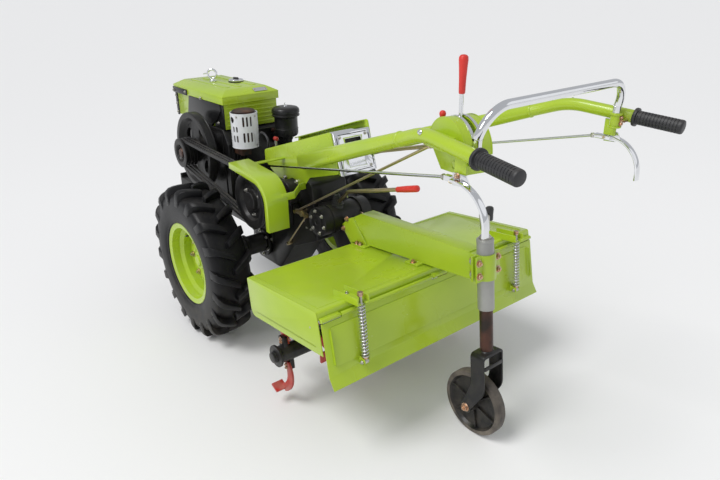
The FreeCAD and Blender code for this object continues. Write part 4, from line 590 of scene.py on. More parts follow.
def buildStage():
    deselectAll()
    bpy.ops.mesh.primitive_plane_add(size=stage["span"])
    floor = bpy.context.object
    floor.name = "floor"
    material = bpy.data.materials.new("floorFinish")
    material.use_nodes = True
    shader = material.node_tree.nodes["Principled BSDF"]
    shader.inputs["Base Color"].default_value = (*stage["floor"], 1)
    shader.inputs["Roughness"].default_value = stage["roughness"]
    floor.data.materials.append(material)
    world = bpy.data.worlds.new("studio")
    world.use_nodes = True
    sky = world.node_tree.nodes["Background"]
    sky.inputs["Color"].default_value = (*stage["world"], 1)
    sky.inputs["Strength"].default_value = stage["worldStrength"]
    # the camera sees a plain white backdrop behind the floor's edge
    nodes, links = world.node_tree.nodes, world.node_tree.links
    seen = nodes.new("ShaderNodeLightPath")
    white = nodes.new("ShaderNodeBackground")
    white.inputs["Color"].default_value = (1, 1, 1, 1)
    either = nodes.new("ShaderNodeMixShader")
    links.new(seen.outputs["Is Camera Ray"], either.inputs["Fac"])
    links.new(sky.outputs["Background"], either.inputs[1])
    links.new(white.outputs["Background"], either.inputs[2])
    links.new(either.outputs["Shader"], nodes["World Output"].inputs["Surface"])
    bpy.context.scene.world = world
    place, aim = toScene(stage["sunFrom"]), toScene(stage["sunAim"])
    bpy.ops.object.light_add(type="SUN", location=place, rotation=facing(place, aim))
    sun = bpy.context.object.data
    sun.energy = stage["sunStrength"]
    sun.angle = math.radians(stage["sunAngle"])
    for name, lamp in lamps.items():
        place, aim = toScene(lamp["place"]), toScene(lamp["aim"])
        bpy.ops.object.light_add(type="AREA", location=place)
        light = bpy.context.object
        light.name = name
        light.rotation_euler = facing(place, aim)
        light.data.shape = "DISK"
        light.data.size = lamp["size"]
        light.data.energy = lamp["power"]
    turn = (rotation(cameraSet["heading"] - 90, "Z") @ rotation(90 - cameraSet["down"], "X")
            @ rotation(cameraSet["roll"], "Z"))
    bpy.ops.object.camera_add(location=toScene(cameraSet["place"]), rotation=turn.to_euler())
    camera = bpy.context.object
    camera.data.lens = cameraSet["lens"]
    camera.data.clip_start = 0.02
    bpy.context.scene.camera = camera
    bpy.context.scene.view_settings.view_transform = "Standard"


buildStage()
print("stage ready")


# Drive wheels

wheel = {
    "middleY": 379, "middleZ": 320, "lugs": 18, "carcass": 293, "halfWidth": 80.2,
    "bead": 153.5, "rimEdge": 171, "rimHalf": 66, "well": 135, "bolts": 6, "boltCircle": 78,
    "whiskers": ((81, 30, 258), (36, -2, 292)), "whiskerLean": -58, "treadRound": 300,
}


def roundDrop(x):
    # how far the tread's round has fallen at x from the lug's middle
    return 0.5 * x * x / wheel["treadRound"]


def lugPattern():
    # stations along one lug: across the tyre, round it, top, foot, half width
    stations = [(-7, 0, 319.5, 280, 13), (8, 9, 319.5, 280, 14.5), (28, 21, 319, 279, 15.5),
                (48, 32, 317.5, 272, 16.5), (64, 40, 313, 262, 18), (74, 45, 304, 250, 19.5),
                (79.6, 47, 288, 238, 20.5)]
    y, x, top, foot, half = stations[0]
    lug = startPoint("lugPattern", (x - half, y, foot))
    drawThrough([(x - half, y, foot), (x + half, y, foot), (x + half * 0.8, y, top), (x - half * 0.8, y, top)])
    selectAll()
    bpy.ops.mesh.edge_face_add()
    for (y, x, top, foot, half), (y2, x2, top2, foot2, half2) in zip(stations, stations[1:]):
        move = Vector((x2 - x, y2 - y, (top2 + foot2 - top - foot) / 2 - roundDrop(x2) + roundDrop(x)))
        extrude(move)
        middle = (x2, y2, (top2 + foot2) / 2 - roundDrop(x2))
        bpy.ops.transform.resize(value=(half2 / half, 1, (top2 - foot2) / (top - foot)), center_override=middle)
    tidyMesh(lug)
    roundEdges(lug, 3.2, 2, 35)
    return lug


def whiskerPattern():
    deselectAll()
    bpy.ops.mesh.primitive_cone_add(vertices=5, radius1=1.3, radius2=0.5, depth=9, location=(0, 0, 4))
    applyPlace()
    return bpy.context.object


def wheelPlace(way):
    return Matrix.Translation((0, way * wheel["middleY"], wheel["middleZ"])) @ Matrix.Scale(way, 4, (0, 1, 0))


def buildTyre(side, way):
    w = wheel
    half, bead = w["halfWidth"], w["bead"]
    outline = [
        (-56, bead), (-63, bead + 1), (-65.5, 166), (-68, 172), (-72.5, 176), (-73.5, 184), (-75.5, 187),
        (-78, 205), (-half, 226), (-79.6, 246), (-77, 262), (-74, 274), (-68, 282), (-58, 287), (-40, 291),
        (-20, 293), (0, w["carcass"]),
    ]
    outline += [(-a, r) for a, r in reversed(outline[:-1])]
    outline += [(60, 190), (40, 262), (-40, 262), (-60, 190), outline[0]]
    carcass = spun("carcass", outline, steps=96)
    lug = lugPattern()
    whisker = whiskerPattern()
    pieces = [carcass]
    pitch = 2 * math.pi / w["lugs"]
    for hand in (1, -1):
        for i in range(w["lugs"]):
            turn = Matrix.Rotation(pitch * (i + (0.5 if hand > 0 else 0)), 4, "Y")
            flip = Matrix.Scale(hand, 4, (0, 1, 0))
            pieces.append(repeated(lug, turn @ flip))
            for across, ahead, radius in w["whiskers"]:
                onWall = across > 40
                if i % 2 == 0 or onWall:
                    lean = rotation(w["whiskerLean"] if onWall else 0, "X")
                    at = Matrix.Translation((ahead, across - 3 if onWall else across, radius))
                    pieces.append(repeated(whisker, turn @ flip @ at @ lean))
    dropPiece(lug)
    dropPiece(whisker)
    tyre = joined(f"tyre_{side}_tread", pieces)
    tyre.data.transform(wheelPlace(way))
    if way < 0:
        tyre.data.flip_normals()
    finishPiece(tyre, "tyreRubber", 32, body=f"wheel_{side}", stands=[f"tyre_{side}"])


def buildRim(side, way):
    w = wheel
    seat, well, half, edge = w["bead"] - 0.7, w["well"], w["rimHalf"], w["rimEdge"]
    barrel = spun("barrel", [
        (-half - 3, edge - 2), (-half - 1, edge + 0.5), (-half + 3, edge), (-half + 5, edge - 6),
        (-half + 6, seat + 2), (-half + 12, seat), (-36, seat - 2), (-26, well + 2), (-20, well), (20, well),
        (26, well + 2), (36, seat - 2), (half - 12, seat), (half - 6, seat + 2), (half - 5, edge - 6),
        (half - 3, edge), (half + 1, edge + 0.5), (half + 3, edge - 2), (half + 1, edge - 8),
        (half - 1, seat - 3), (half - 12, seat - 5), (34, seat - 7), (22, well - 5), (-22, well - 5),
        (-34, seat - 7), (-half + 12, seat - 5), (-half + 1, seat - 3), (-half - 1, edge - 8),
        (-half - 3, edge - 2),
    ], steps=72)
    disc = spun("disc", [
        (-16, 24), (-16, 52), (-13, 58), (-4, 66), (-2, 74), (-4, 96), (-12, 108), (-19, 118),
        (-19, well - 5.5), (-12, well - 5.5), (-12, 120), (-5, 112), (3, 100), (5, 74), (3, 64), (-6, 55),
        (-9, 50), (-9, 24), (-16, 24),
    ], steps=72)
    hub = spun("hub", [
        (-74, 23), (-74, 44), (-70, 46), (-20, 46), (-18, 58), (-9, 58), (-9, 40), (12, 38), (16, 35), (16, 24),
        (22, 22), (24, 19), (24, core),
    ], steps=48)
    shaft = spun("shaft", filled([(-135, 21.8), (-72, 22)]), steps=32)
    weld = spun("weld", [(-22, well - 9), (-24.5, well - 6.5), (-22, well - 5), (-19, well - 8),
                         (-22, well - 9)], steps=72)
    rim = joined(f"rim_{side}_dish", [barrel, disc, hub, weld])
    rim.data.transform(wheelPlace(way))
    if way < 0:
        rim.data.flip_normals()
    finishPiece(rim, "limePaint", 32, body=f"wheel_{side}", stands=[f"rim_{side}"])
    shaft.name = f"wheel_shaft_{side}"
    shaft.data.transform(wheelPlace(way))
    finishPiece(shaft, "oiledSteel", 32, body=f"wheel_{side}")
    places = roundPlaces(0, way * (w["middleY"] + 5), w["middleZ"], w["boltCircle"],
                         [360 * i / w["bolts"] for i in range(w["bolts"])])
    boltsAt(f"rim_bolts_{side}", places, (0, way, 0), 10, "goldZinc", body=f"wheel_{side}")
    stem = [(0, 5.5), (4, 5.5), (5, 3.2), (20, 3.0), (21, 3.8), (32, 3.8), (34, 2.5), (34, core)]
    place = (0, way * (w["middleY"] + 24), w["middleZ"] + w["well"] - 16)
    valve = spun("valve_stem", mirrored(way, stem), place, "Y", 16)
    valve.name = f"valve_stem_{side}"
    finishPiece(valve, "darkPlastic", 32, body=f"wheel_{side}")


for side, way in sides:
    buildTyre(side, way)
    buildRim(side, way)
print("wheels ready")


# Flywheel, belts and clutch

belts = {"starts": 232, "ends": 278, "count": 3, "crank": (330, 686, 52), "clutch": (-265, 622, 95),
         "depth": 11, "pitch": 15.4, "windows": 4, "windowTurn": 38, "windowRound": 96}


def buildFlywheel():
    x, z = belts["crank"][:2]
    start, width, radius, pulley = 182, 42, 168, belts["crank"][2]
    grooves = [(50 + i * belts["pitch"] + a, pulley + b) for i in range(belts["count"])
               for a, b in ((1.5, 1), (12.5, 1), (14.0, 11.5))]
    rim = spun("rim", [
        (0, 30), (0, radius - 5), (3, radius - 1), (6, radius), (8, radius - 1.5), (13, radius - 1.5),
        (15, radius), (width - 3, radius), (width, radius - 3), (width, radius - 22), (width - 4, radius - 27),
        (22, radius - 34), (17, radius - 40), (16, 60), (20, 52), (42, 46), (45, pulley), (46, pulley + 11),
        (49.5, pulley + 11.5), *grooves, (101, pulley + 11), (102, pulley + 8), (102, 40), (96, 34), (86, 30),
        (86, core), (0, core), (0, 30),
    ], (x, start, z), "Y", 96)
    # oval windows through the web, cut out by hand with a boolean
    cutters = []
    for i in range(belts["windows"]):
        deselectAll()
        bpy.ops.mesh.primitive_cylinder_add(vertices=32, radius=30, depth=60, rotation=(math.pi / 2, 0, 0),
                                            scale=(1.15, 0.78, 1))
        applyPlace()
        cutter = bpy.context.object
        turn = belts["windowTurn"] + 90 * i
        cutters.append(turned(cutter, 90 - turn, "Y",
                              roundPlaces(x, start + 10, z, belts["windowRound"], [turn])[0]))
    cutOut(rim, cutters)
    roundEdges(rim, 1.2, 2, 40)
    rim.name = "flywheel_cast"
    finishPiece(rim, "blackCasting", 30, body="flywheel", stands=["flywheel"])
    shaft = spun("crank_end", filled([(-94, 23.8), (5, 24)]), (x, start, z), "Y", 32)
    finishPiece(shaft, "oiledSteel", body="flywheel")
    nut = spun("crank_nut", filled([(84, 30), (88, 31), (90, 30), (90, 24), (108, 22), (112, 19)]),
               (x, start - 12, z), "Y", 6)
    roundEdges(nut, 1.0)
    finishPiece(nut, "oiledSteel", body="flywheel")


def beltPath(extra):
    # corners of one belt's loop: round both pulleys and straight on the outer tangents
    (x1, z1, r1), (x2, z2, r2) = belts["crank"], belts["clutch"]
    r1, r2 = r1 + extra, r2 + extra
    run = math.hypot(x1 - x2, z1 - z2)
    lean = math.atan2(z1 - z2, x1 - x2)
    spread = math.acos((r2 - r1) / run)
    points = []
    for i in range(25):
        turn = lean + spread + (2 * math.pi - 2 * spread) * i / 24
        points.append((x2 + r2 * math.cos(turn), z2 + r2 * math.sin(turn)))
    for i in range(15):
        turn = lean - spread + 2 * spread * i / 14
        points.append((x1 + r1 * math.cos(turn), z1 + r1 * math.sin(turn)))
    return points


def buildBelts():
    loops = []
    gap = (belts["ends"] - belts["starts"]) / belts["count"]
    inner = beltPath(0.6)
    for i in range(belts["count"]):
        low = belts["starts"] + gap * i
        loop = startPoint("loop", (inner[0][0], low + 3.6, inner[0][1]))
        drawThrough([(x, low + 3.6, z) for x, z in inner])
        selectAll()
        bpy.ops.mesh.edge_face_add()
        bpy.ops.mesh.delete(type="ONLY_FACE")
        selectAll()
        # the closed loop is pulled across to a band, and gets its depth outward below
        extrude((0, gap - 7.2, 0))
        bpy.ops.object.mode_set(mode="OBJECT")
        loops.append(loop)
    for loop in loops:
        focusOn(loop)
        thick = loop.modifiers.new("thick", "SOLIDIFY")
        thick.thickness = belts["depth"] - 1
        thick.offset = 1
        tidyMesh(loop, 0.01)
        focusOn(loop)
        bpy.ops.object.modifier_apply(modifier="thick")
    finishPiece(joined("belt_loops", loops), "beltRubber", 40, stands=["drive_belts"])


def buildClutch():
    x, z, radius = belts["clutch"]
    grooves = [(i * belts["pitch"] + a, radius + b) for i in range(belts["count"])
               for a, b in ((1.5, 0.5), (12.5, 0.5), (14.2, 11.5))]
    drum = spun("drum", [
        (-28, 27), (-28, 66), (-24, 74), (-6, radius - 4), (-4, radius + 10), (-1, radius + 11.5), *grooves,
        (48, radius + 11.5), (50, radius + 10), (50, radius - 12), (46, radius - 20), (34, radius - 26),
        (30, 44), (34, 38), (48, 36), (50, 33), (50, core), (-28, core), (-28, 27),
    ], (x, belts["starts"], z), "Y", 80)
    roundEdges(drum, 0.8, 2, 45)
    drum.name = "clutch_drum"
    finishPiece(drum, "blackCasting", 30, body="clutch_pulley", stands=["clutch_pulley"])
    axle = spun("clutch_shaft", filled([(-178, 26), (-26, 26)]), (x, belts["starts"], z), "Y", 32)
    finishPiece(axle, "oiledSteel", body="clutch_pulley")
    boltsAt("clutch_bolts", roundPlaces(x, belts["starts"] + 31, z, 56, (30, 150, 270)), (0, 1, 0), 7,
            body="clutch_pulley")


buildFlywheel()
buildBelts()
buildClutch()
print("drive ready")


# Pressed, welded and cast parts whose solid already has the right form: the width of their eased edges, and
# a finish other than their slot's
easedParts = {
    "gearbox": (4.0, None), "engine_frame": (2.0, None), "engine_block": (6.0, None),
    "engine_cover": (4.0, None), "shroud_plate": (1.2, None), "muffler": (3.0, "sootySteel"),
    "belt_guard": (1.0, None), "handle_bracket": (1.2, None), "handlebar_left": (0.8, None),
    "handlebar_right": (0.8, None), "control_console": (0.9, None), "linkage_rods": (0.8, "goldZinc"),
    "squeeze_lever_left": (0.8, "chromePlate"), "squeeze_lever_right": (0.8, "chromePlate"),
    "side_panel_left": (0.9, None), "side_panel_right": (0.9, None),
    "tiller_beam": (2.0, None), "drive_case": (4.0, "blackCasting"), "tiller_rotor": (1.5, "blackPaint"),
    "rotor_blades": (1.6, "redPaint"), "post_tube": (1.0, "greyPaint"),
    "tail_fork": (1.2, "blackPaint"), "spring_rod_left": (0.6, None), "spring_rod_right": (0.6, None),
}
shells = {node: softened(node, width, finish) for node, (width, finish) in easedParts.items()}
# the rotor's shaft keeps clear of its bore in the chain case at every turn: the part of it that is resized, in
# metres, and by how much
shaftEase = {"half": 0.034, "radius": 0.0186, "share": 0.95}
rotorAxis = toMetres @ Vector((tillerPlace["x"], 0, tillerPlace["z"]))


def onShaft(place):
    away = math.hypot(place.x - rotorAxis.x, place.z - rotorAxis.z)
    return abs(place.y) < shaftEase["half"] and away < shaftEase["radius"]


pick(shells["tiller_rotor"], "vertices", onShaft)
bpy.ops.transform.resize(value=(shaftEase["share"], 1, shaftEase["share"]), center_override=rotorAxis)
deselectAll()
print("solids eased")


# Small shapes used below

def bevelPicked(piece, kind, test, width, segments=3):
    pick(piece, kind, test)
    bpy.ops.mesh.bevel(offset=width, segments=segments, affect="EDGES")
    deselectAll()


def coil(name, place, radius, wire, height, turns):
    # a round wire wound upward about a vertical line
    deselectAll()
    bpy.ops.mesh.primitive_circle_add(vertices=8, radius=wire, location=(radius, 0, 0),
                                      rotation=(math.pi / 2, 0, 0))
    piece = bpy.context.object
    piece.name = name
    applyPlace()
    wound = piece.modifiers.new("wound", "SCREW")
    wound.axis = "Z"
    wound.angle = 2 * math.pi * turns
    wound.screw_offset = height
    wound.steps = wound.render_steps = int(turns * 18)
    bpy.ops.object.modifier_apply(modifier=wound.name)
    tidyMesh(piece)
    piece.data.transform(Matrix.Translation(place))
    return piece


def along(piece, start, direction):
    # moves a piece drawn up the Z axis onto a line
    turn = Vector((0, 0, 1)).rotation_difference(Vector(direction))
    piece.data.transform(Matrix.Translation(start) @ turn.to_matrix().to_4x4())
    return piece


# Hood, side panels and flap of the tiller

hood = {
    "top": 281, "front": 63, "rear": -336, "half": 472, "wall": 3, "foot": 147, "panelFoot": -347.3,
    "hinge": (-345, 254), "fold": (-360, 82), "footBolts": [(6, 42), (26, 42), (-270, 42)],
    "springX": -378, "springY": 346, "eyeZ": 96,
}


def buildHood():
    h = hood
    softened("tiller_hood", 1.2)
    places = [(x, way * y, h["top"] + 6) for x, y in h["footBolts"] for way in (1, -1)]
    boltsAt("beam_foot_bolts", places, (0, 0, 1), 8, "copperZinc", True)
    top = h["top"]
    rear, front, side = h["rear"] + 22, h["front"] - 17, 452
    # pressed lines, 3 mm wide: along the sides and across both ends
    lines = [block("line", (rear, y - 1.5, top - 0.5), (front + 1, y + 1.5, top + 1), 0.7)
             for y in (side, -side)]
    lines += [block("line", (x - 1.5, -side, top - 0.5), (x + 1.5, side, top + 1), 0.7) for x in (rear, front)]
    finishPiece(joined("hood_lines", lines), "limePaint", 50, True)
    for side, way in sides:
        corners = [(h["front"], h["top"]), (h["front"], h["foot"]), (h["panelFoot"], h["foot"]),
                   (h["hinge"][0] + 7, h["hinge"][1]), (h["rear"] + 2, h["top"])]
        inner, outer = way * (h["half"] - h["wall"]), way * (h["half"] - 1)
        panel = plate("panel", [(x, inner, z) for x, z in corners], (0, outer - inner, 0))
        bevelPicked(panel, "edges",
                    lambda middle, run: abs(run.y) > 1 and middle.x > 60 and middle.z < 200, 25, 6)
        bevelPicked(panel, "edges", lambda middle, run: abs(run.y) > 1 and middle.z > 270, 8, 4)
        roundEdges(panel, 0.6, 2, 40)
        crease = block("crease", (h["panelFoot"] + 30, way * 470, h["foot"] + 18),
                       (h["front"] - 24, way * 472, h["foot"] + 25), 0.9)
        finishPiece(joined(f"side_panel_{side}_sheet", [panel, crease]), "limePaint", 35, True,
                    stands=[f"side_panel_{side}"])
        boltsAt(f"side_panel_bolts_{side}", [(-296, way * 464.9, 223)], (0, way, 0), 6, tiller=True)


def flapFace(z, out=1.5):
    (topX, topZ), (foldX, foldZ) = hood["hinge"], hood["fold"]
    return topX - out + (foldX - topX) * (topZ - 4 - z) / (topZ - 4 - foldZ)


def buildFlap():
    softened("rear_flap", 0.7)
    corners = [(flapFace(z), y, z) for z, y in ((228, -444), (228, 444), (108, 444), (108, -444))]
    panel = plate("flap_panel", corners, (-2.2, 0, 0.2))
    bevelPicked(panel, "edges", lambda middle, run: abs(run.x) > 1, 10, 4)
    roundEdges(panel, 1.8, 3, 40)
    finishPiece(panel, "limePaint", 40, True, body=bodyOf["rear_flap"])


def buildSprings():
    h = hood
    for side, way in sides:
        y = way * h["springY"]
        foot = h["eyeZ"] + 20
        spring = coil(f"flap_coil_{side}", (h["springX"], y, foot + 2), 10.2, 2.1, h["top"] - 5 - foot, 15)
        body = bodyOf[f"flap_spring_{side}"]
        finishPiece(spring, "silverPlate", 60, True, body=body, stands=[f"flap_spring_{side}"])
        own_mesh(spring)
        nuts = [spun("nut", ringOutline(a, 6, 5.2, 9.2, (1, 0.6)), (h["springX"], y, 0), "Z", 6)
                for a in (h["eyeZ"] + 9, h["top"] + 22, h["top"] + 28.5)]
        finishPiece(joined(f"rod_nuts_{side}", nuts), "copperZinc", 30, True, body=body)
        boltsAt(f"rod_pin_head_{side}", [(h["springX"], y + 14.2, h["eyeZ"])], (0, 1, 0), 5, tiller=True,
                body=bodyOf["rear_flap"])
        boltsAt(f"guide_bolts_{side}", [(-300, y + off, h["top"] + 4) for off in (-10, 10)],
                (0, 0, 1), 5, tiller=True)


buildHood()
buildFlap()
buildSprings()
print("tiller hood ready")


# Beam, post, clamp, crank, fork and tail wheel

tail = {
    "postX": -537, "postTop": 415, "clampLow": 292, "clampHigh": 370, "hub": (-485.6, -153.6), "wheelX": -1160,
    "radius": 112, "half": 18, "forkHalf": 46,
}


def buildPost():
    t = tail
    x = t["postX"]
    softened("post_clamp", 1.0, "limePaint")
    low, high = t["clampLow"] + 19, t["clampHigh"] - 19
    boltsAt("clamp_bolts", [(x - 11, y, z) for y in (-41, 41) for z in (low, high)], (-1, 0, 0), 8.5,
            "copperZinc", True)
    boltsAt("clamp_nuts", [(x + 11, y, z) for y in (-41, 41) for z in (low, high)], (1, 0, 0), 8.5, tiller=True)
    for side, way in sides:
        boltsAt(f"block_bolts_{side}", [(-512, way * 28.2, z) for z in (low, high)], (0, way, 0), 7,
                "copperZinc", True)
    collar = spun("post_rim", [(t["postTop"] - 9, 24.5), (t["postTop"] - 9, 25.6), (t["postTop"] - 3, 25.6),
                               (t["postTop"] + 0.6, 22), (t["postTop"] + 0.6, 12)], (x, 0, 0), "Z", 48)
    finishPiece(collar, "greyPaint", 40, True, body=bodyOf["post_tube"])


def buildCrank():
    t = tail
    x, top = t["postX"], t["postTop"]
    body = bodyOf["post_crank"]
    nut = spun("nut",
               filled([(top + 0.7, 18.6), (top + 4, 19), (top + 13, 12), (top + 16, 10), (top + 19, 8.8),
                       (top + 29, 8.8), (top + 30, 8)]), (x, 0, 0), "Z", 32)
    arm = plate("arm", [(x - 16, -3, top + 22), (x + 16, -3, top + 22), (x + 20, -3, top + 74),
                        (x - 16, -3, top + 74)], (0, 6, 0))
    bevelPicked(arm, "edges", lambda middle, run: abs(run.y) > 4, 7, 4)
    roundEdges(arm, 0.8, 2, 40)
    pin = spun("pin", filled([(-14, 5), (3, 5), (3, 8), (6, 8), (6.5, 7)]), (x - 4, 0, top + 62), "Y", 20)
    finishPiece(joined("crank_arm", [nut, arm, pin]), "zincPlate", 32, True, body=body, stands=["post_crank"])
    knob = spun("crank_knob",
                filled([(466, 8), (468, 9.5), (474, 10), (486, 10.6), (498, 12), (504, 11.2), (507, 7.5),
                        (508, 3)]), (x - 4, -16, 0), "Z", 32)
    finishPiece(knob, "darkPlastic", 40, True, body=body)


def buildTailWheel():
    t = tail
    r, half = t["radius"], t["half"]
    outline = [(-34, 8.4), (-34, 20), (-32, 21.5), (-12, 22), (-7.5, 25), (-6, 32), (-6, r - 30), (-8, r - 24),
               (-14, r - 20), (-half + 0.5, r - 17), (-half, r - 12), (-half + 0.6, r - 5), (-half + 4, r - 2),
               (-half + 9, r - 1.2)]
    outline += [(-a, b) for a, b in reversed(outline)] + [(-34, 8.4)]
    body = spun("body", outline, steps=72)
    ribs = []
    for i in range(6):
        for way in (1, -1):
            rib = block("rib", (-2.5, way * 4, 20), (2.5, way * 13, r - 19), 1.0)
            ribs.append(turned(rib, 60 * i + 12, "Y"))
    wheelPiece = joined("tail_wheel_cast", [body] + ribs)
    wheelPiece.data.transform(Matrix.Translation((t["wheelX"], 0, r)))
    finishPiece(wheelPiece, "blackCasting", 35, body=bodyOf["tail_wheel"], stands=["tail_wheel"])
    tread = spun("tail_tread", [(-half - 0.4, r - 16), (-half - 0.6, r - 8), (-half + 1.5, r - 2.5),
                                (-half + 5, r - 0.4), (half - 5, r - 0.4), (half - 1.5, r - 2.5),
                                (half + 0.6, r - 8), (half + 0.4, r - 16), (half - 4, r - 18),
                                (-half + 4, r - 18), (-half - 0.4, r - 16)], (t["wheelX"], 0, r), "Y", 72)
    finishPiece(tread, "wheelRubber", 35, body=bodyOf["tail_wheel"])


def buildFork():
    t = tail
    x, z = t["hub"]
    for side, way in sides:
        boltsAt(f"fork_axle_nut_{side}", [(x, way * t["forkHalf"], z)], (0, way, 0), 11, "copperZinc", True,
                body=bodyOf["tail_fork"])
        outline = mirrored(way, [(35.2, 8.3), (35.2, 15), (39.6, 15), (39.6, 8.3), (35.2, 8.3)])
        spacer = spun("spacer", outline, (x, 0, z), "Y", 24)
        finishPiece(spacer, "zincPlate", 35, True, body=bodyOf["tail_fork"])
        spacer.name = f"fork_spacer_{side}"
    skin = spun("inner_post_skin", [(56, 20.05), (56, 20.4), (192, 20.4), (192, 20.05)],
                (t["postX"], 0, 0), "Z", 48)
    finishPiece(skin, "oiledSteel", 40, True, body=bodyOf["tail_fork"])
    strip = block("fork_strip", (t["postX"] - 27.5, -39.8, 2), (t["postX"] - 23, 39.8, 15), 0.8)
    weld = spun("crown_weld", [(50, 20.1), (50, 24), (53, 23), (55, 20.6), (55, 20.1), (50, 20.1)],
                (t["postX"], 0, 0), "Z", 40)
    finishPiece(joined("fork_strip", [strip, weld]), "blackPaint", 35, True, body=bodyOf["tail_fork"])


buildPost()
buildCrank()
buildTailWheel()
buildFork()
print("post ready")


# Beam seams and the gear lever

beam = {"rear": -500, "low": 287, "half": 28, "case": (170, 357), "capBolts": 42}
gear = {"boot": (153, 22), "base": 412, "bend": (72, 26, 470), "end": (-302, 34, 536), "bar": 7}


def buildBeam():
    b = beam
    x, z = b["case"]
    seams = []
    weld, low = 1.8, b["low"] + 0.6
    for way in (1, -1):
        y = way * (b["half"] + 0.4)
        bent = [(-18, y + way * 5, b["low"] + 2)] + [(a, y + way * 4.6, c)
                                                     for a, c in ((3, 322), (30, 350), (48, 379))]
        seams.append(tube("seam", bent, weld))
        for start, end in ((-300, -240), (-30, -8)):
            seams.append(tube("seam", [(start, y, low), (end, y, low)], weld, 2))
    seams.append(tube("seam", [(b["rear"] - 0.4, -27, 300), (b["rear"] - 0.4, -27, 372)], 1.6, 2))
    finishPiece(joined("beam_welds", seams), "limePaint", 60, True)
    for side, way in sides:
        boltsAt(f"beam_nose_bolts_{side}", [(112, way * 33.2, 327), (86, way * 33.2, 368)], (0, way, 0), 8,
                "copperZinc", True)
        boltsAt(f"drive_cap_bolts_{side}", roundPlaces(x, way * 108, z, b["capBolts"], range(20, 380, 60)),
                (0, way, 0), 6, tiller=True)
        outline = mirrored(way, filled([(107, 30), (111, 30), (112.5, 28), (112.5, 12), (110, 9)]))
        cap = spun(f"drive_cap_{side}", outline, (x, 0, z), "Y", 48)
        finishPiece(cap, "blackCasting", 35, True)
    ring = [spun("ring", [(a, 55.2), (a, 60), (a + 9, 60), (a + 9, 55.2)], (x, 0, z), "Y", 56)
            for a in (-70, 61)]
    finishPiece(joined("drive_rings", ring), "blackCasting", 35, True)


def buildGearLever():
    g = gear
    body = bodyOf["gear_lever"]
    x, y = g["boot"]
    folds = [(g["base"] - 20, 23)]
    for i in range(6):
        z = g["base"] - 6 + i * 7.2
        radius = 23.6 - i * 2.3
        folds += [(z, radius - 2.2), (z + 2.2, radius), (z + 4.6, radius)]
    folds += [(g["base"] + 38, 9.5), (g["base"] + 38, 6)]
    boot = spun("gear_boot", folds, (x, y, 0), "Z", 40)
    finishPiece(boot, "gripRubber", 50, True, body=body, stands=["gear_lever"])
    start, end = Vector(g["bend"]), Vector(g["end"])
    run = (start - end).normalized()
    corner = [start + (Vector((x, y, g["base"])) - start).normalized() * 26, start, start - run * 26]
    bar = tube("gear_bar", [(x, y, g["base"]), tuple(corner[0]), tuple(corner[1]), tuple(corner[2]),
                            tuple(end + run * 30)], g["bar"] - 0.1, 3, 5)
    finishPiece(bar, "goldZinc", 50, True, body=body)
    grip = spun("grip", [(0, core), (0, 7), (2.5, 10.4), (8, 11), (60, 10.6), (92, 9.4), (99, 9.6), (101.5, 8),
                         (101.5, 7.2)], (0, 0, 0), "Z", 32)
    along(grip, end, run)
    grip.name = "gear_grip"
    finishPiece(grip, "redRubber", 45, True, body=body)


buildBeam()
buildGearLever()
print("beam ready")


# Rotor ends, flanges and blade bolts

# stations: place along the rotor, turn of the first of its two blades
rotor = {"radius": 30, "half": 440, "stations": [(96, 45), (206, 90), (316, 115), (396, 0), (-96, 67),
                                                 (-206, 112), (-316, 137), (-396, 22)]}


def buildRotor():
    r = rotor
    half = r["half"]
    body = bodyOf["tiller_rotor"]
    rings = []
    for way in (1, -1):
        for a in (34, half - 8):
            rings.append(spun("ring", mirrored(way, ringOutline(a, 8, r["radius"], 39, (1, 1))), steps=40))
        end = filled([(half - 1, 22), (half + 6, 21), (half + 6, 15), (half + 13, 14)])
        rings.append(spun("end", mirrored(way, end), steps=24))
    finishPiece(joined("rotor_rings", rings), "blackPaint", 35, True, body=body)
    copies = []
    for y, turn in r["stations"]:
        for way, opposite in ((-1, 0), (1, 180)):
            around = rotation(turn + opposite, "Y")
            for reach in (44, 56):
                for ahead, out in ((8, way), (-16, -way)):
                    place = (0, y + way * ahead, reach)
                    copies.append(repeated(bolt, around @ aimed(place, (0, out, 0), 5.5)))
    finishPiece(joined("blade_bolts", copies), "copperZinc", 30, True, body=body)


buildRotor()
print("rotor ready")


# Handles: grips, hoop, console, levers and their pins

controls = {
    "gripEnd": (-1498, 334, 1012), "bend": (-1185, 290, 1040), "drum": (-1237, 226, 1003),
    "drumRadius": 78, "drumHalf": 38, "turn": -12.8, "leverTop": 1217, "leverGrip": 1131, "hoopX": -1338,
    "hoopY": 281.5, "pivot": (-1312, 306, 958), "throttle": (-1155, 200, 1069),
}
gate = {"x": -530, "lean": 0.32, "top": 892, "bottom": 748}


def consoleFrame():
    x, y = controls["drum"][:2]
    return (Matrix.Translation((x, y, 0)) @ rotation(controls["turn"], "Z") @ Matrix.Translation((-x, 0, 0)))


def buildGrips():
    c = controls
    outline = [(0, core), (0, 13), (1.5, 17), (4, 18.6)]
    for i in range(13):
        low = 7 + i * 8.4
        outline += [(low, 18.9), (low + 5.6, 18.9), (low + 6.4, 17.6), (low + 7.6, 17.6)]
    outline += [(116, 18.6), (119, 19), (120, 24.6), (122, 25), (126, 25), (128, 24.2), (128, 17.7)]
    for side, way in sides:
        end, bend = (Vector((p[0], p[1] * way, p[2])) for p in (c["gripEnd"], c["bend"]))
        run = (bend - end).normalized()
        sleeve = along(spun("sleeve", outline, (0, 0, 0), "Z", 40), end, run)
        ridges = []
        for i in range(8):
            ridge = block("ridge", (-1.2, 16.5, 10), (1.2, 18.95, 112), 0.5)
            ridges.append(along(turned(ridge, 45 * i, "Z"), end, run))
        finishPiece(joined(f"grip_{side}_rubber", [sleeve] + ridges), "gripRubber", 35, stands=[f"grip_{side}"])


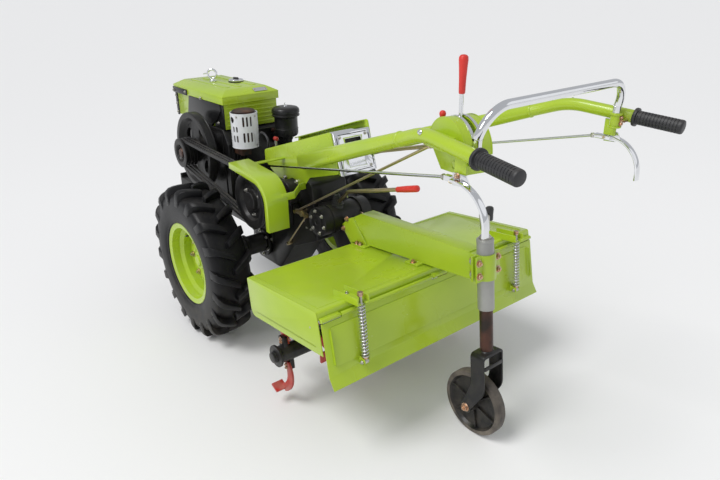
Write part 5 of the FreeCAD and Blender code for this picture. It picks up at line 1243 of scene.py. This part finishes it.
def buildHoop():
    c = controls
    softened("handle_hoop", 0, "chromePlate", smooth=60)
    for side, way in sides:
        y = way * c["hoopY"]
        rings = [spun("ring", ringOutline(z, 5, 14.6, 17.4, (1, 0.8), False), (c["hoopX"], y, 0), "Z", 32)
                 for z in (994, 1028.5)]
        finishPiece(joined(f"sleeve_rings_{side}", rings), "limePaint", 40)
        boltsAt(f"sleeve_bolts_{side}", [(c["hoopX"] - 14.2, y, 1006), (c["hoopX"] - 14.2, y, 1022)],
                (-1, 0, 0), 5.5, "copperZinc")
        tee = tube(f"tee_handle_{side}",
                   [(c["hoopX"] - 26, y - 15, 1014), (c["hoopX"] - 26, y + 15, 1014)], 2.6, 2)
        stem = tube("stem", [(c["hoopX"] - 13, y, 1014), (c["hoopX"] - 27, y, 1014)], 3.4, 2)
        finishPiece(joined(f"tee_handle_{side}", [tee, stem]), "copperZinc", 50)


def buildConsole():
    c = controls
    x, z = c["drum"][0], c["drum"][2]
    r, half = c["drumRadius"], c["drumHalf"]
    swung = consoleFrame()
    strips = []
    for way in (1, -1):
        low, high = sorted((way * 7, way * 15))
        points = [(x, low, z + r + 0.1), (x, high, z + r + 0.1), (x, high, z + r + 2), (x, low, z + r + 2),
                  (x, low, z + r + 0.1)]
        strip = swept("strip", points, (x, 0, z), (0, 1, 0), 14, math.radians(76), True)
        strip.data.transform(Matrix.Translation((x, 0, z)) @ rotation(13, "Y")
                             @ Matrix.Translation((-x, 0, -z)))
        editAll(strip)
        bpy.ops.mesh.fill_holes(sides=6)
        bpy.ops.mesh.normals_make_consistent(inside=False)
        deselectAll()
        strips.append(strip)
    lane = joined("console_gate", strips)
    lane.data.transform(swung)
    finishPiece(lane, "chromePlate", 40)
    rims = []
    for at in (-half, half - 3):
        points = [(x + r - 4, at, z), (x + r + 0.8, at, z), (x + r + 0.8, at + 3, z), (x + r - 4, at + 3, z),
                  (x + r - 4, at, z)]
        rims.append(swept("rim", points, (x, 0, z), (0, 1, 0), 36, math.pi, True))
    edge = joined("console_rims", rims)
    edge.data.transform(swung)
    finishPiece(edge, "limePaint", 40)
    heads = [swung @ Vector(p) for p in ((x - 30, -half - 0.2, z + 24), (x + 30, -half - 0.2, z + 24),
                                         (x - 4, -half - 0.2, z + 56))]
    boltsAt("console_screws", heads, swung.to_3x3() @ Vector((0, -1, 0)), 5)
    tab = block("console_tab", (x - 62, half - 4, z - 30), (x - 42, half + 9, z - 26), 1)
    skirt = block("skirt", (x - 62, half + 5, z - 30), (x - 42, half + 9, z - 12), 1)
    tab = joined("console_tab", [tab, skirt])
    tab.data.transform(swung)
    finishPiece(tab, "limePaint", 40)
    knobX, knobY, knobZ = c["throttle"]
    ball = spun("throttle_knob", [(-9, core), (-9, 4), (-6, 7), (0, 8.5), (5, 7.6), (8, 4.5), (9, core)],
                (knobX, knobY, knobZ), "Z", 28)
    finishPiece(ball, "redRubber", 60)
    stalk = tube("throttle_stalk", [(knobX, knobY, knobZ - 8), (knobX - 3, knobY + 4, knobZ - 34),
                                    (knobX - 16, knobY + 10, knobZ - 52)], 3, 3)
    finishPiece(stalk, "chromePlate", 60)


def buildMainLever():
    c = controls
    x, y = c["drum"][:2]
    low, top = c["leverGrip"], c["leverTop"]
    shaft = spun("lever_shaft", filled([(1024, 4.9), (low + 2, 4.9)]), (x, y, 0), "Z", 24)
    finishPiece(shaft, "chromePlate", 40, body=bodyOf["main_lever"], stands=["main_lever"])
    grip = spun("lever_grip", [(low, 4.9), (low, 6.6), (low + 3, 7.6), (low + 30, 8.2), (low + 62, 10),
                               (top - 12, 11), (top - 5, 10.4), (top - 1, 7), (top, 3), (top, core)],
                (x, y, 0), "Z", 32)
    finishPiece(grip, "redRubber", 50, body=bodyOf["main_lever"])


def buildSqueezePins():
    c = controls
    x, y, z = c["pivot"]
    for side, way in sides:
        body = bodyOf[f"squeeze_lever_{side}"]
        boltsAt(f"squeeze_pin_{side}", [(x, way * (y + 4.4), z + 12)], (0, way, 0), 6, "copperZinc", body=body)
        pin = spun("pin", filled([(-12, 4), (9, 4)]), (x + 10, way * (y - 1), z), "Y", 16)
        ring = tube("ring", [(x + 8, way * (y + 9), z - 4), (x + 16, way * (y + 9), z - 10),
                             (x + 22, way * (y + 8), z - 4)], 1.2, 3)
        finishPiece(joined(f"clevis_pin_{side}", [pin, ring]), "goldZinc", 40, body=body)
        start = Vector((x + 39, way * (y - 1), z))
        run = (Vector((-95, way * 100, 688)) - start).normalized()
        nut = along(spun("nut", ringOutline(4, 9, 4.2, 7.6, (1, 0.6)), axis="Z", steps=6), start, run)
        nut.name = f"rod_lock_nut_{side}"
        finishPiece(nut, "zincPlate", 30, body=body)


def buildArmDetails():
    front, weld = Vector((-362, 101, 760)), Vector((-1076, 265, 1003))
    for side, way in sides:
        a, b = (Vector((p.x, p.y * way, p.z)) for p in (front, weld))
        run = (a - b).normalized()
        ring = along(spun("ring", [(-4, 17.4), (-3, 19.4), (0, 20.4), (4, 20.4), (7, 19.2), (7, 17.4)],
                          (0, 0, 0), "Z", 40), b, run)
        ring.name = f"arm_weld_{side}"
        finishPiece(ring, "limePaint", 50)
        boltsAt(f"arm_bolts_{side}", [(-337, way * 84, 753)], (0, way, 0), 10, "copperZinc")
        boltsAt(f"bracket_bolts_{side}", [(-212, way * 84, 662), (-290, way * 84, 661)], (0, way, 0), 8)
        boltsAt(f"arm_clip_{side}", [(-1186, way * 306, 1046)], (0, way, 0.25), 5, "chromePlate")


def gateFace(z, out=0.0):
    # the leaning front of the gate plate at height z
    return gate["x"] - gate["lean"] * (gate["top"] - z) - out


def buildGate():
    top, bottom = gate["top"], gate["bottom"]
    softened("gate_plate", 3.0, "chromePlate")
    trims = []
    for points in ([(-62, top - 10), (62, top - 10)], [(-62, bottom + 10), (62, bottom + 10)],
                   [(-70, top - 18), (-70, bottom + 18)], [(70, top - 18), (70, bottom + 18)]):
        trims.append(tube("trim", [(gateFace(z, 0.2), y, z) for y, z in points], 1.4, 2, 3))
    finishPiece(joined("gate_trim", trims), "blackPaint", 60)
    # a dark plate behind the gate's slots: painted shade that makes the slots look dark
    slotShade = plate("gate_slot_shade",
                    [(gateFace(z, -18), y, z) for y, z in ((-60, top - 12), (60, top - 12), (60, bottom + 12),
                                                           (-60, bottom + 12))], (1.5, 0, -0.4))
    finishPiece(slotShade, "blackPaint", 40)
    inlay = plate("gate_inlay",
                  [(gateFace(z, -2), y, z) for y, z in ((-40, 806), (40, 806), (40, 770), (-40, 770))],
                  (2.6, 0, -0.8))
    finishPiece(inlay, "chromePlate", 40)
    boltsAt("gate_screws", [(gateFace(z), y, z) for y in (-56, 56) for z in (top - 18, bottom + 18)],
            (-0.95, 0, 0.3), 4.5)


buildGrips()
buildHoop()
buildConsole()
buildMainLever()
buildSqueezePins()
buildArmDetails()
buildGate()
print("handles ready")


# Engine: lid, eye, cap, side plates, air cleaner, exhaust guard and small parts

engine = {
    "lidTop": 952, "lidRear": 170, "lidFront": 674, "lidHalf": 137, "skirt": (896, 930), "tankHalf": 129,
    "tankRear": 178, "eye": (462, 32, 986, 20, 50), "cap": (381, -44, 34),
    "muffler": (78, 92, 734, 890), "cage": (56, 878), "filter": (60, -100, 752, 884, 50, 60),
}


def buildLid():
    e = engine
    top, half = e["lidTop"], e["lidHalf"]
    ridges = []
    for y in (-62, 8, 66):
        ridge = block("ridge", (250, y - 13, top - 1), (600, y + 13, top + 2.2), 0)
        bevelPicked(ridge, "edges", lambda middle, run: abs(run.z) > 1, 9, 4)
        roundEdges(ridge, 2.0, 3, 40)
        ridges.append(ridge)
    lip = [block("lip", (e["lidRear"] - 0.6, -half - 0.6, z), (e["lidFront"] + 0.6, half + 0.6, z + 5), 2)
           for z in (e["skirt"][0], e["skirt"][1] - 6)]
    finishPiece(joined("lid_ridges", ridges + lip), "limePaint", 40)
    steps = [block("step", (e["tankRear"] - 1.6, -118, z), (e["tankRear"] + 4, 118, z + 7), 1.5)
             for z in (802, 820, 838, 856, 874)]
    finishPiece(joined("tank_steps", steps), "limePaint", 40)
    badge = plate("lid_plate",
                  [(176, -22, 935.4), (176, -86, 935.4), (196, -86, 946.4), (196, -22, 946.4)], (-0.8, 0, 1.4))
    finishPiece(badge, "silverPlate", 40)
    rivets = [Vector((186, y, 941.8)) for y in (-28, -80)]
    boltsAt("lid_rivets", rivets, (-0.48, 0, 0.88), 2.6, "copperZinc")
    angle = [block("strap", (520, half + 0.7, 894), (e["lidFront"], half + 4, 920), 1),
             block("strap", (650, e["tankHalf"] + 0.5, 786), (e["lidFront"] - 2, e["tankHalf"] + 4, 900), 1)]
    finishPiece(joined("lid_strap", angle), "blackPaint", 40)
    boltsAt("strap_bolts", [(664, half + 4, 903), (534, half + 4, 909)], (0, 1, 0), 5)
    boltsAt("strap_foot_bolts", [(661, e["tankHalf"] + 4, z) for z in (878, 840, 800)], (0, 1, 0), 5)
    boltsAt("shroud_bolts", [(377, 139, 900), (220, 139, 815)], (0, 1, 0), 5.5)


def buildEyeAndCap():
    e = engine
    x, y, z, radius, turn = e["eye"]
    deselectAll()
    bpy.ops.mesh.primitive_torus_add(major_radius=radius, minor_radius=4.9, major_segments=48,
                                     minor_segments=14, location=(0, 0, 0), rotation=(math.pi / 2, 0, 0))
    applyPlace()
    ring = turned(bpy.context.object, turn, "Z", (x, y, z))
    foot = spun("foot", filled([(952, 15), (955, 15.5), (957, 13), (958, 8), (962, 6.5), (968, 7.5)]),
                (x, y, 0), "Z", 36)
    nut = spun("nut", filled([(957, 11), (963, 11), (964, 10)]), (x, y, 0), "Z", 6)
    finishPiece(joined("eye_ring", [ring, foot, nut]), "chromePlate", 45, stands=["lifting_eye"])
    pin = tube("eye_tail", [(x + 20, y + 6, 985), (x + 70, y + 4, 984), (x + 84, y + 3, 978)], 2.6, 3)
    finishPiece(pin, "chromePlate", 60)
    x, y, radius = e["cap"]
    base = spun("cap_skirt",
                filled([(952, radius - 7), (955, radius - 5), (957, radius - 1), (960, radius),
                        (963, radius - 1), (965, radius - 6), (966, radius - 12)]), (x, y, 0), "Z", 48)
    finishPiece(base, "chromePlate", 40, stands=["fuel_cap"])
    rim = spun("cap_seal", [(952.2, radius - 2), (952.2, radius + 1), (956, radius + 1), (956.5, radius - 2)],
               (x, y, 0), "Z", 48)
    wing = block("cap_wing", (x - 20, y - 5, 966), (x + 20, y + 5, 972), 2)
    knob = spun("knob", filled([(966, 12), (968, 12.5), (971.5, 11), (972, 8)]), (x, y, 0), "Z", 32)
    finishPiece(joined("cap_handle", [rim, wing, knob]), "darkPlastic", 40)


def buildAirCleaner():
    e = engine
    x, y, low, top, radius, cap = e["filter"]
    body = spun("cleaner_body",
                filled([(low - 44, 22), (low - 20, 22), (low - 14, 26), (low - 2, 30), (low, radius - 8),
                        (low + 4, radius - 3), (low + 10, radius), (low + 30, radius),
                        (low + 31.5, radius + 1.8), (low + 34, radius + 1.8), (low + 35.5, radius),
                        (top - 52, radius), (top - 48, radius + 2), (top - 46, cap - 4), (top - 44, cap - 0.5),
                        (top - 41, cap), (top - 38, cap - 0.5), (top - 36, cap - 3), (top - 33, cap - 3),
                        (top - 30, cap), (top - 20, cap), (top - 14, cap - 2.5), (top - 9, cap - 8),
                        (top - 6, cap - 20), (top - 4.5, cap - 34), (top - 4, 8)]), (x, y, 0), "Z", 64)
    finishPiece(body, "blackPaint", 34, stands=["air_cleaner"])
    louvres = []
    for i in range(16):
        slat = block("slat", (radius - 1, -1.6, low + 12), (radius + 1.2, 1.6, low + 28), 0.6)
        louvres.append(turned(slat, 22.5 * i, "Z", (x, y, 0)))
    pipe = block("pipe", (x + 10, y - 23, low - 43), (e["tankRear"] - 29, y + 23, low - 1), 8)
    finishPiece(joined("cleaner_louvres", louvres + [pipe]), "blackCasting", 40)
    nut = spun("wing_nut", filled([(top - 5, 9), (top - 4, 9.5), (top - 2, 5), (top - 0.5, 4.6)]),
               (x, y, 0), "Z", 20)
    stem = spun("stem", filled([(top - 1, 3), (top + 9, 3), (top + 10, 2)]), (x, y, 0), "Z", 16)
    finishPiece(joined("cleaner_nut", [nut, stem]), "chromePlate", 40)


def buildExhaust():
    e = engine
    x, y, low, top = e["muffler"]
    radius, guardTop = e["cage"]
    cap = spun("muffler_cap", [(guardTop + 2, 47), (guardTop + 6, 47.5), (top - 4, 45), (top - 1.5, 40),
                               (top - 0.6, 20), (top - 0.6, core)], (x, y, 0), "Z", 56)
    finishPiece(cap, "sootySteel", 40)
    rolls = [spun("roll", [(z, radius - 2.4), (z + 0.6, radius + 0.8), (z + 3.4, radius + 0.8),
                           (z + 4, radius - 2.4)], (x, y, 0), "Z", 64) for z in (low + 0.4, guardTop - 4.4)]
    finishPiece(joined("guard_rolls", rolls), "whitePaint", 40)
    shell = spun("muffler_cage",
                 [(low, radius - 2.4), (low, radius), (guardTop, radius), (guardTop, radius - 2.4),
                  (low, radius - 2.4)], (x, y, 0), "Z", 96)
    # turn round the guard, foot and height of each slot
    slots = [(148, 826, 40), (164, 826, 40), (181, 826, 40), (148, 761, 40), (164, 761, 40), (181, 761, 40),
             (100, 803, 23), (117, 803, 23), (100, 761, 28), (117, 761, 28), (225, 761, 40), (241, 761, 40)]
    cutters = []
    for turn, foot, tall in slots:
        cutter = block("cutter", (radius - 8, -4, foot), (radius + 6, 4, foot + tall), 0)
        bevelPicked(cutter, "edges", lambda middle, run: abs(run.x) > 1, 3.6, 4)
        cutters.append(turned(cutter, turn, "Z", (x, y, 0)))
    port = spun("cutter", filled([(radius - 14, 13), (radius + 8, 13)]), (0, 0, 0), "X", 32)
    cutOut(shell, cutters + [turned(port, 91, "Z", (x, y, 852))])
    finishPiece(shell, "whitePaint", 30, stands=["muffler_guard"])
    for i, (turn, z) in enumerate(((205, guardTop - 12), (205, low + 12), (118, guardTop - 12))):
        out = Vector((math.cos(math.radians(turn)), math.sin(math.radians(turn)), 0))
        boltsAt(f"guard_screw_{i}", [Vector((x, y, z)) + out * radius], out, 3.6)


def buildEngineParts():
    loop = tube("fuel_line", [(18, 60, 740), (18, 60, 795), (-10, 60, 805), (-42, 60, 793), (-61, 60, 770),
                              (-40, 60, 735), (-20, 50, 700)], 5, 4)
    finishPiece(loop, "gripRubber", 60)
    red = spun("drain_knob", filled([(-12, 6), (-9, 9), (5, 9), (8, 6)]), (-45, 20, 776), "X", 20)
    stem = spun("drain_stem", filled([(-60, 5), (-8, 5)]), (-45, 20, 781), "Z", 16)
    finishPiece(red, "redPaint", 40)
    finishPiece(stem, "zincPlate", 40)
    # opposite corners and edge of each cover
    covers = [block("cover", low, high, edge) for low, high, edge in (
        ((190, -146, 520), (600, -139, 760), 5), ((230, -152, 560), (430, -140, 740), 6),
        ((450, -150, 600), (580, -140, 740), 6), ((190, 139, 500), (600, 145, 770), 5))]
    finishPiece(joined("side_covers", covers), "blackCasting", 40)
    boltsAt("cover_bolts", [(x, -146, z) for x in (204, 586) for z in (534, 640, 746)],
            (0, -1, 0), 7, "oiledSteel")
    boltsAt("cover_bolts_front", [(x, -152, z) for x in (244, 416) for z in (574, 726)],
            (0, -1, 0), 6, "oiledSteel")
    head = [block("head", (138, -90, 600), (152, 60, 780), 4)]
    head += [block("rib", (141, y - 3, 560), (152, y + 3, 770), 1.5) for y in (-120, -105, 75, 90, 105, 120)]
    finishPiece(joined("engine_head", head), "blackCasting", 40)
    boltsAt("head_bolts", [(138, y, z) for y in (-78, 48) for z in (614, 690, 766)],
            (-1, 0, 0), 8, "oiledSteel")


def buildGearboxParts():
    cover = spun("bearing_cover", filled([(80, 34), (84, 34.5), (86, 33), (86.5, 24), (90, 22), (91, 12)]),
                 (-362, 0, 517), "Y", 48)
    rings = [cover]
    for way in (1, -1):
        for y, radius in ((86, 62), (176, 50), (279, 53)):
            outline = mirrored(way, ringOutline(y, 11, 42.1, radius + 1.2, (2, 1.2), False))
            rings.append(spun("flange", outline, (0, 0, wheel["middleZ"]), "Y", 48))
        inner, outer = way * 79, way * 85
        rings += [block("seam", (rear, inner, low), (front, outer, high), 2) for rear, front, low, high in (
            (-70, -58, 330, 600), (-300, -72, 560, 572), (-164, -156, 470, 560), (-244, -236, 470, 560))]
    finishPiece(joined("gearbox_flanges", rings), "blackCasting", 38)
    boltsAt("bearing_bolts", roundPlaces(-362, 86.5, 517, 28, range(0, 360, 60)), (0, 1, 0), 4)
    for side, way in sides:
        boltsAt(f"axle_flange_bolts_{side}",
                roundPlaces(0, way * 97, wheel["middleZ"], 53, range(20, 380, 60)), (0, way, 0), 6)
        boltsAt(f"seam_bolts_{side}", [(-64, way * 85, z) for z in (350, 420, 490, 560)], (0, way, 0), 6)
    pin = spun("bell_pin", filled([(99, 8), (104, 8), (105, 7)]), (-335, 0, 549), "Y", 6)
    clips = [spun("clip", [(y, 3.8), (y, 7.5), (y + 3, 7.5), (y + 3, 3.8)], (x, 0, z), "Y", 20)
             for x, y, z in ((-299, 106, 549), (-371, 106, 549))]
    finishPiece(joined("bell_pins", [pin] + clips), "goldZinc", 35)


buildLid()
buildEyeAndCap()
buildAirCleaner()
buildExhaust()
buildEngineParts()
buildGearboxParts()
print("engine ready")

dropPiece(bolt)
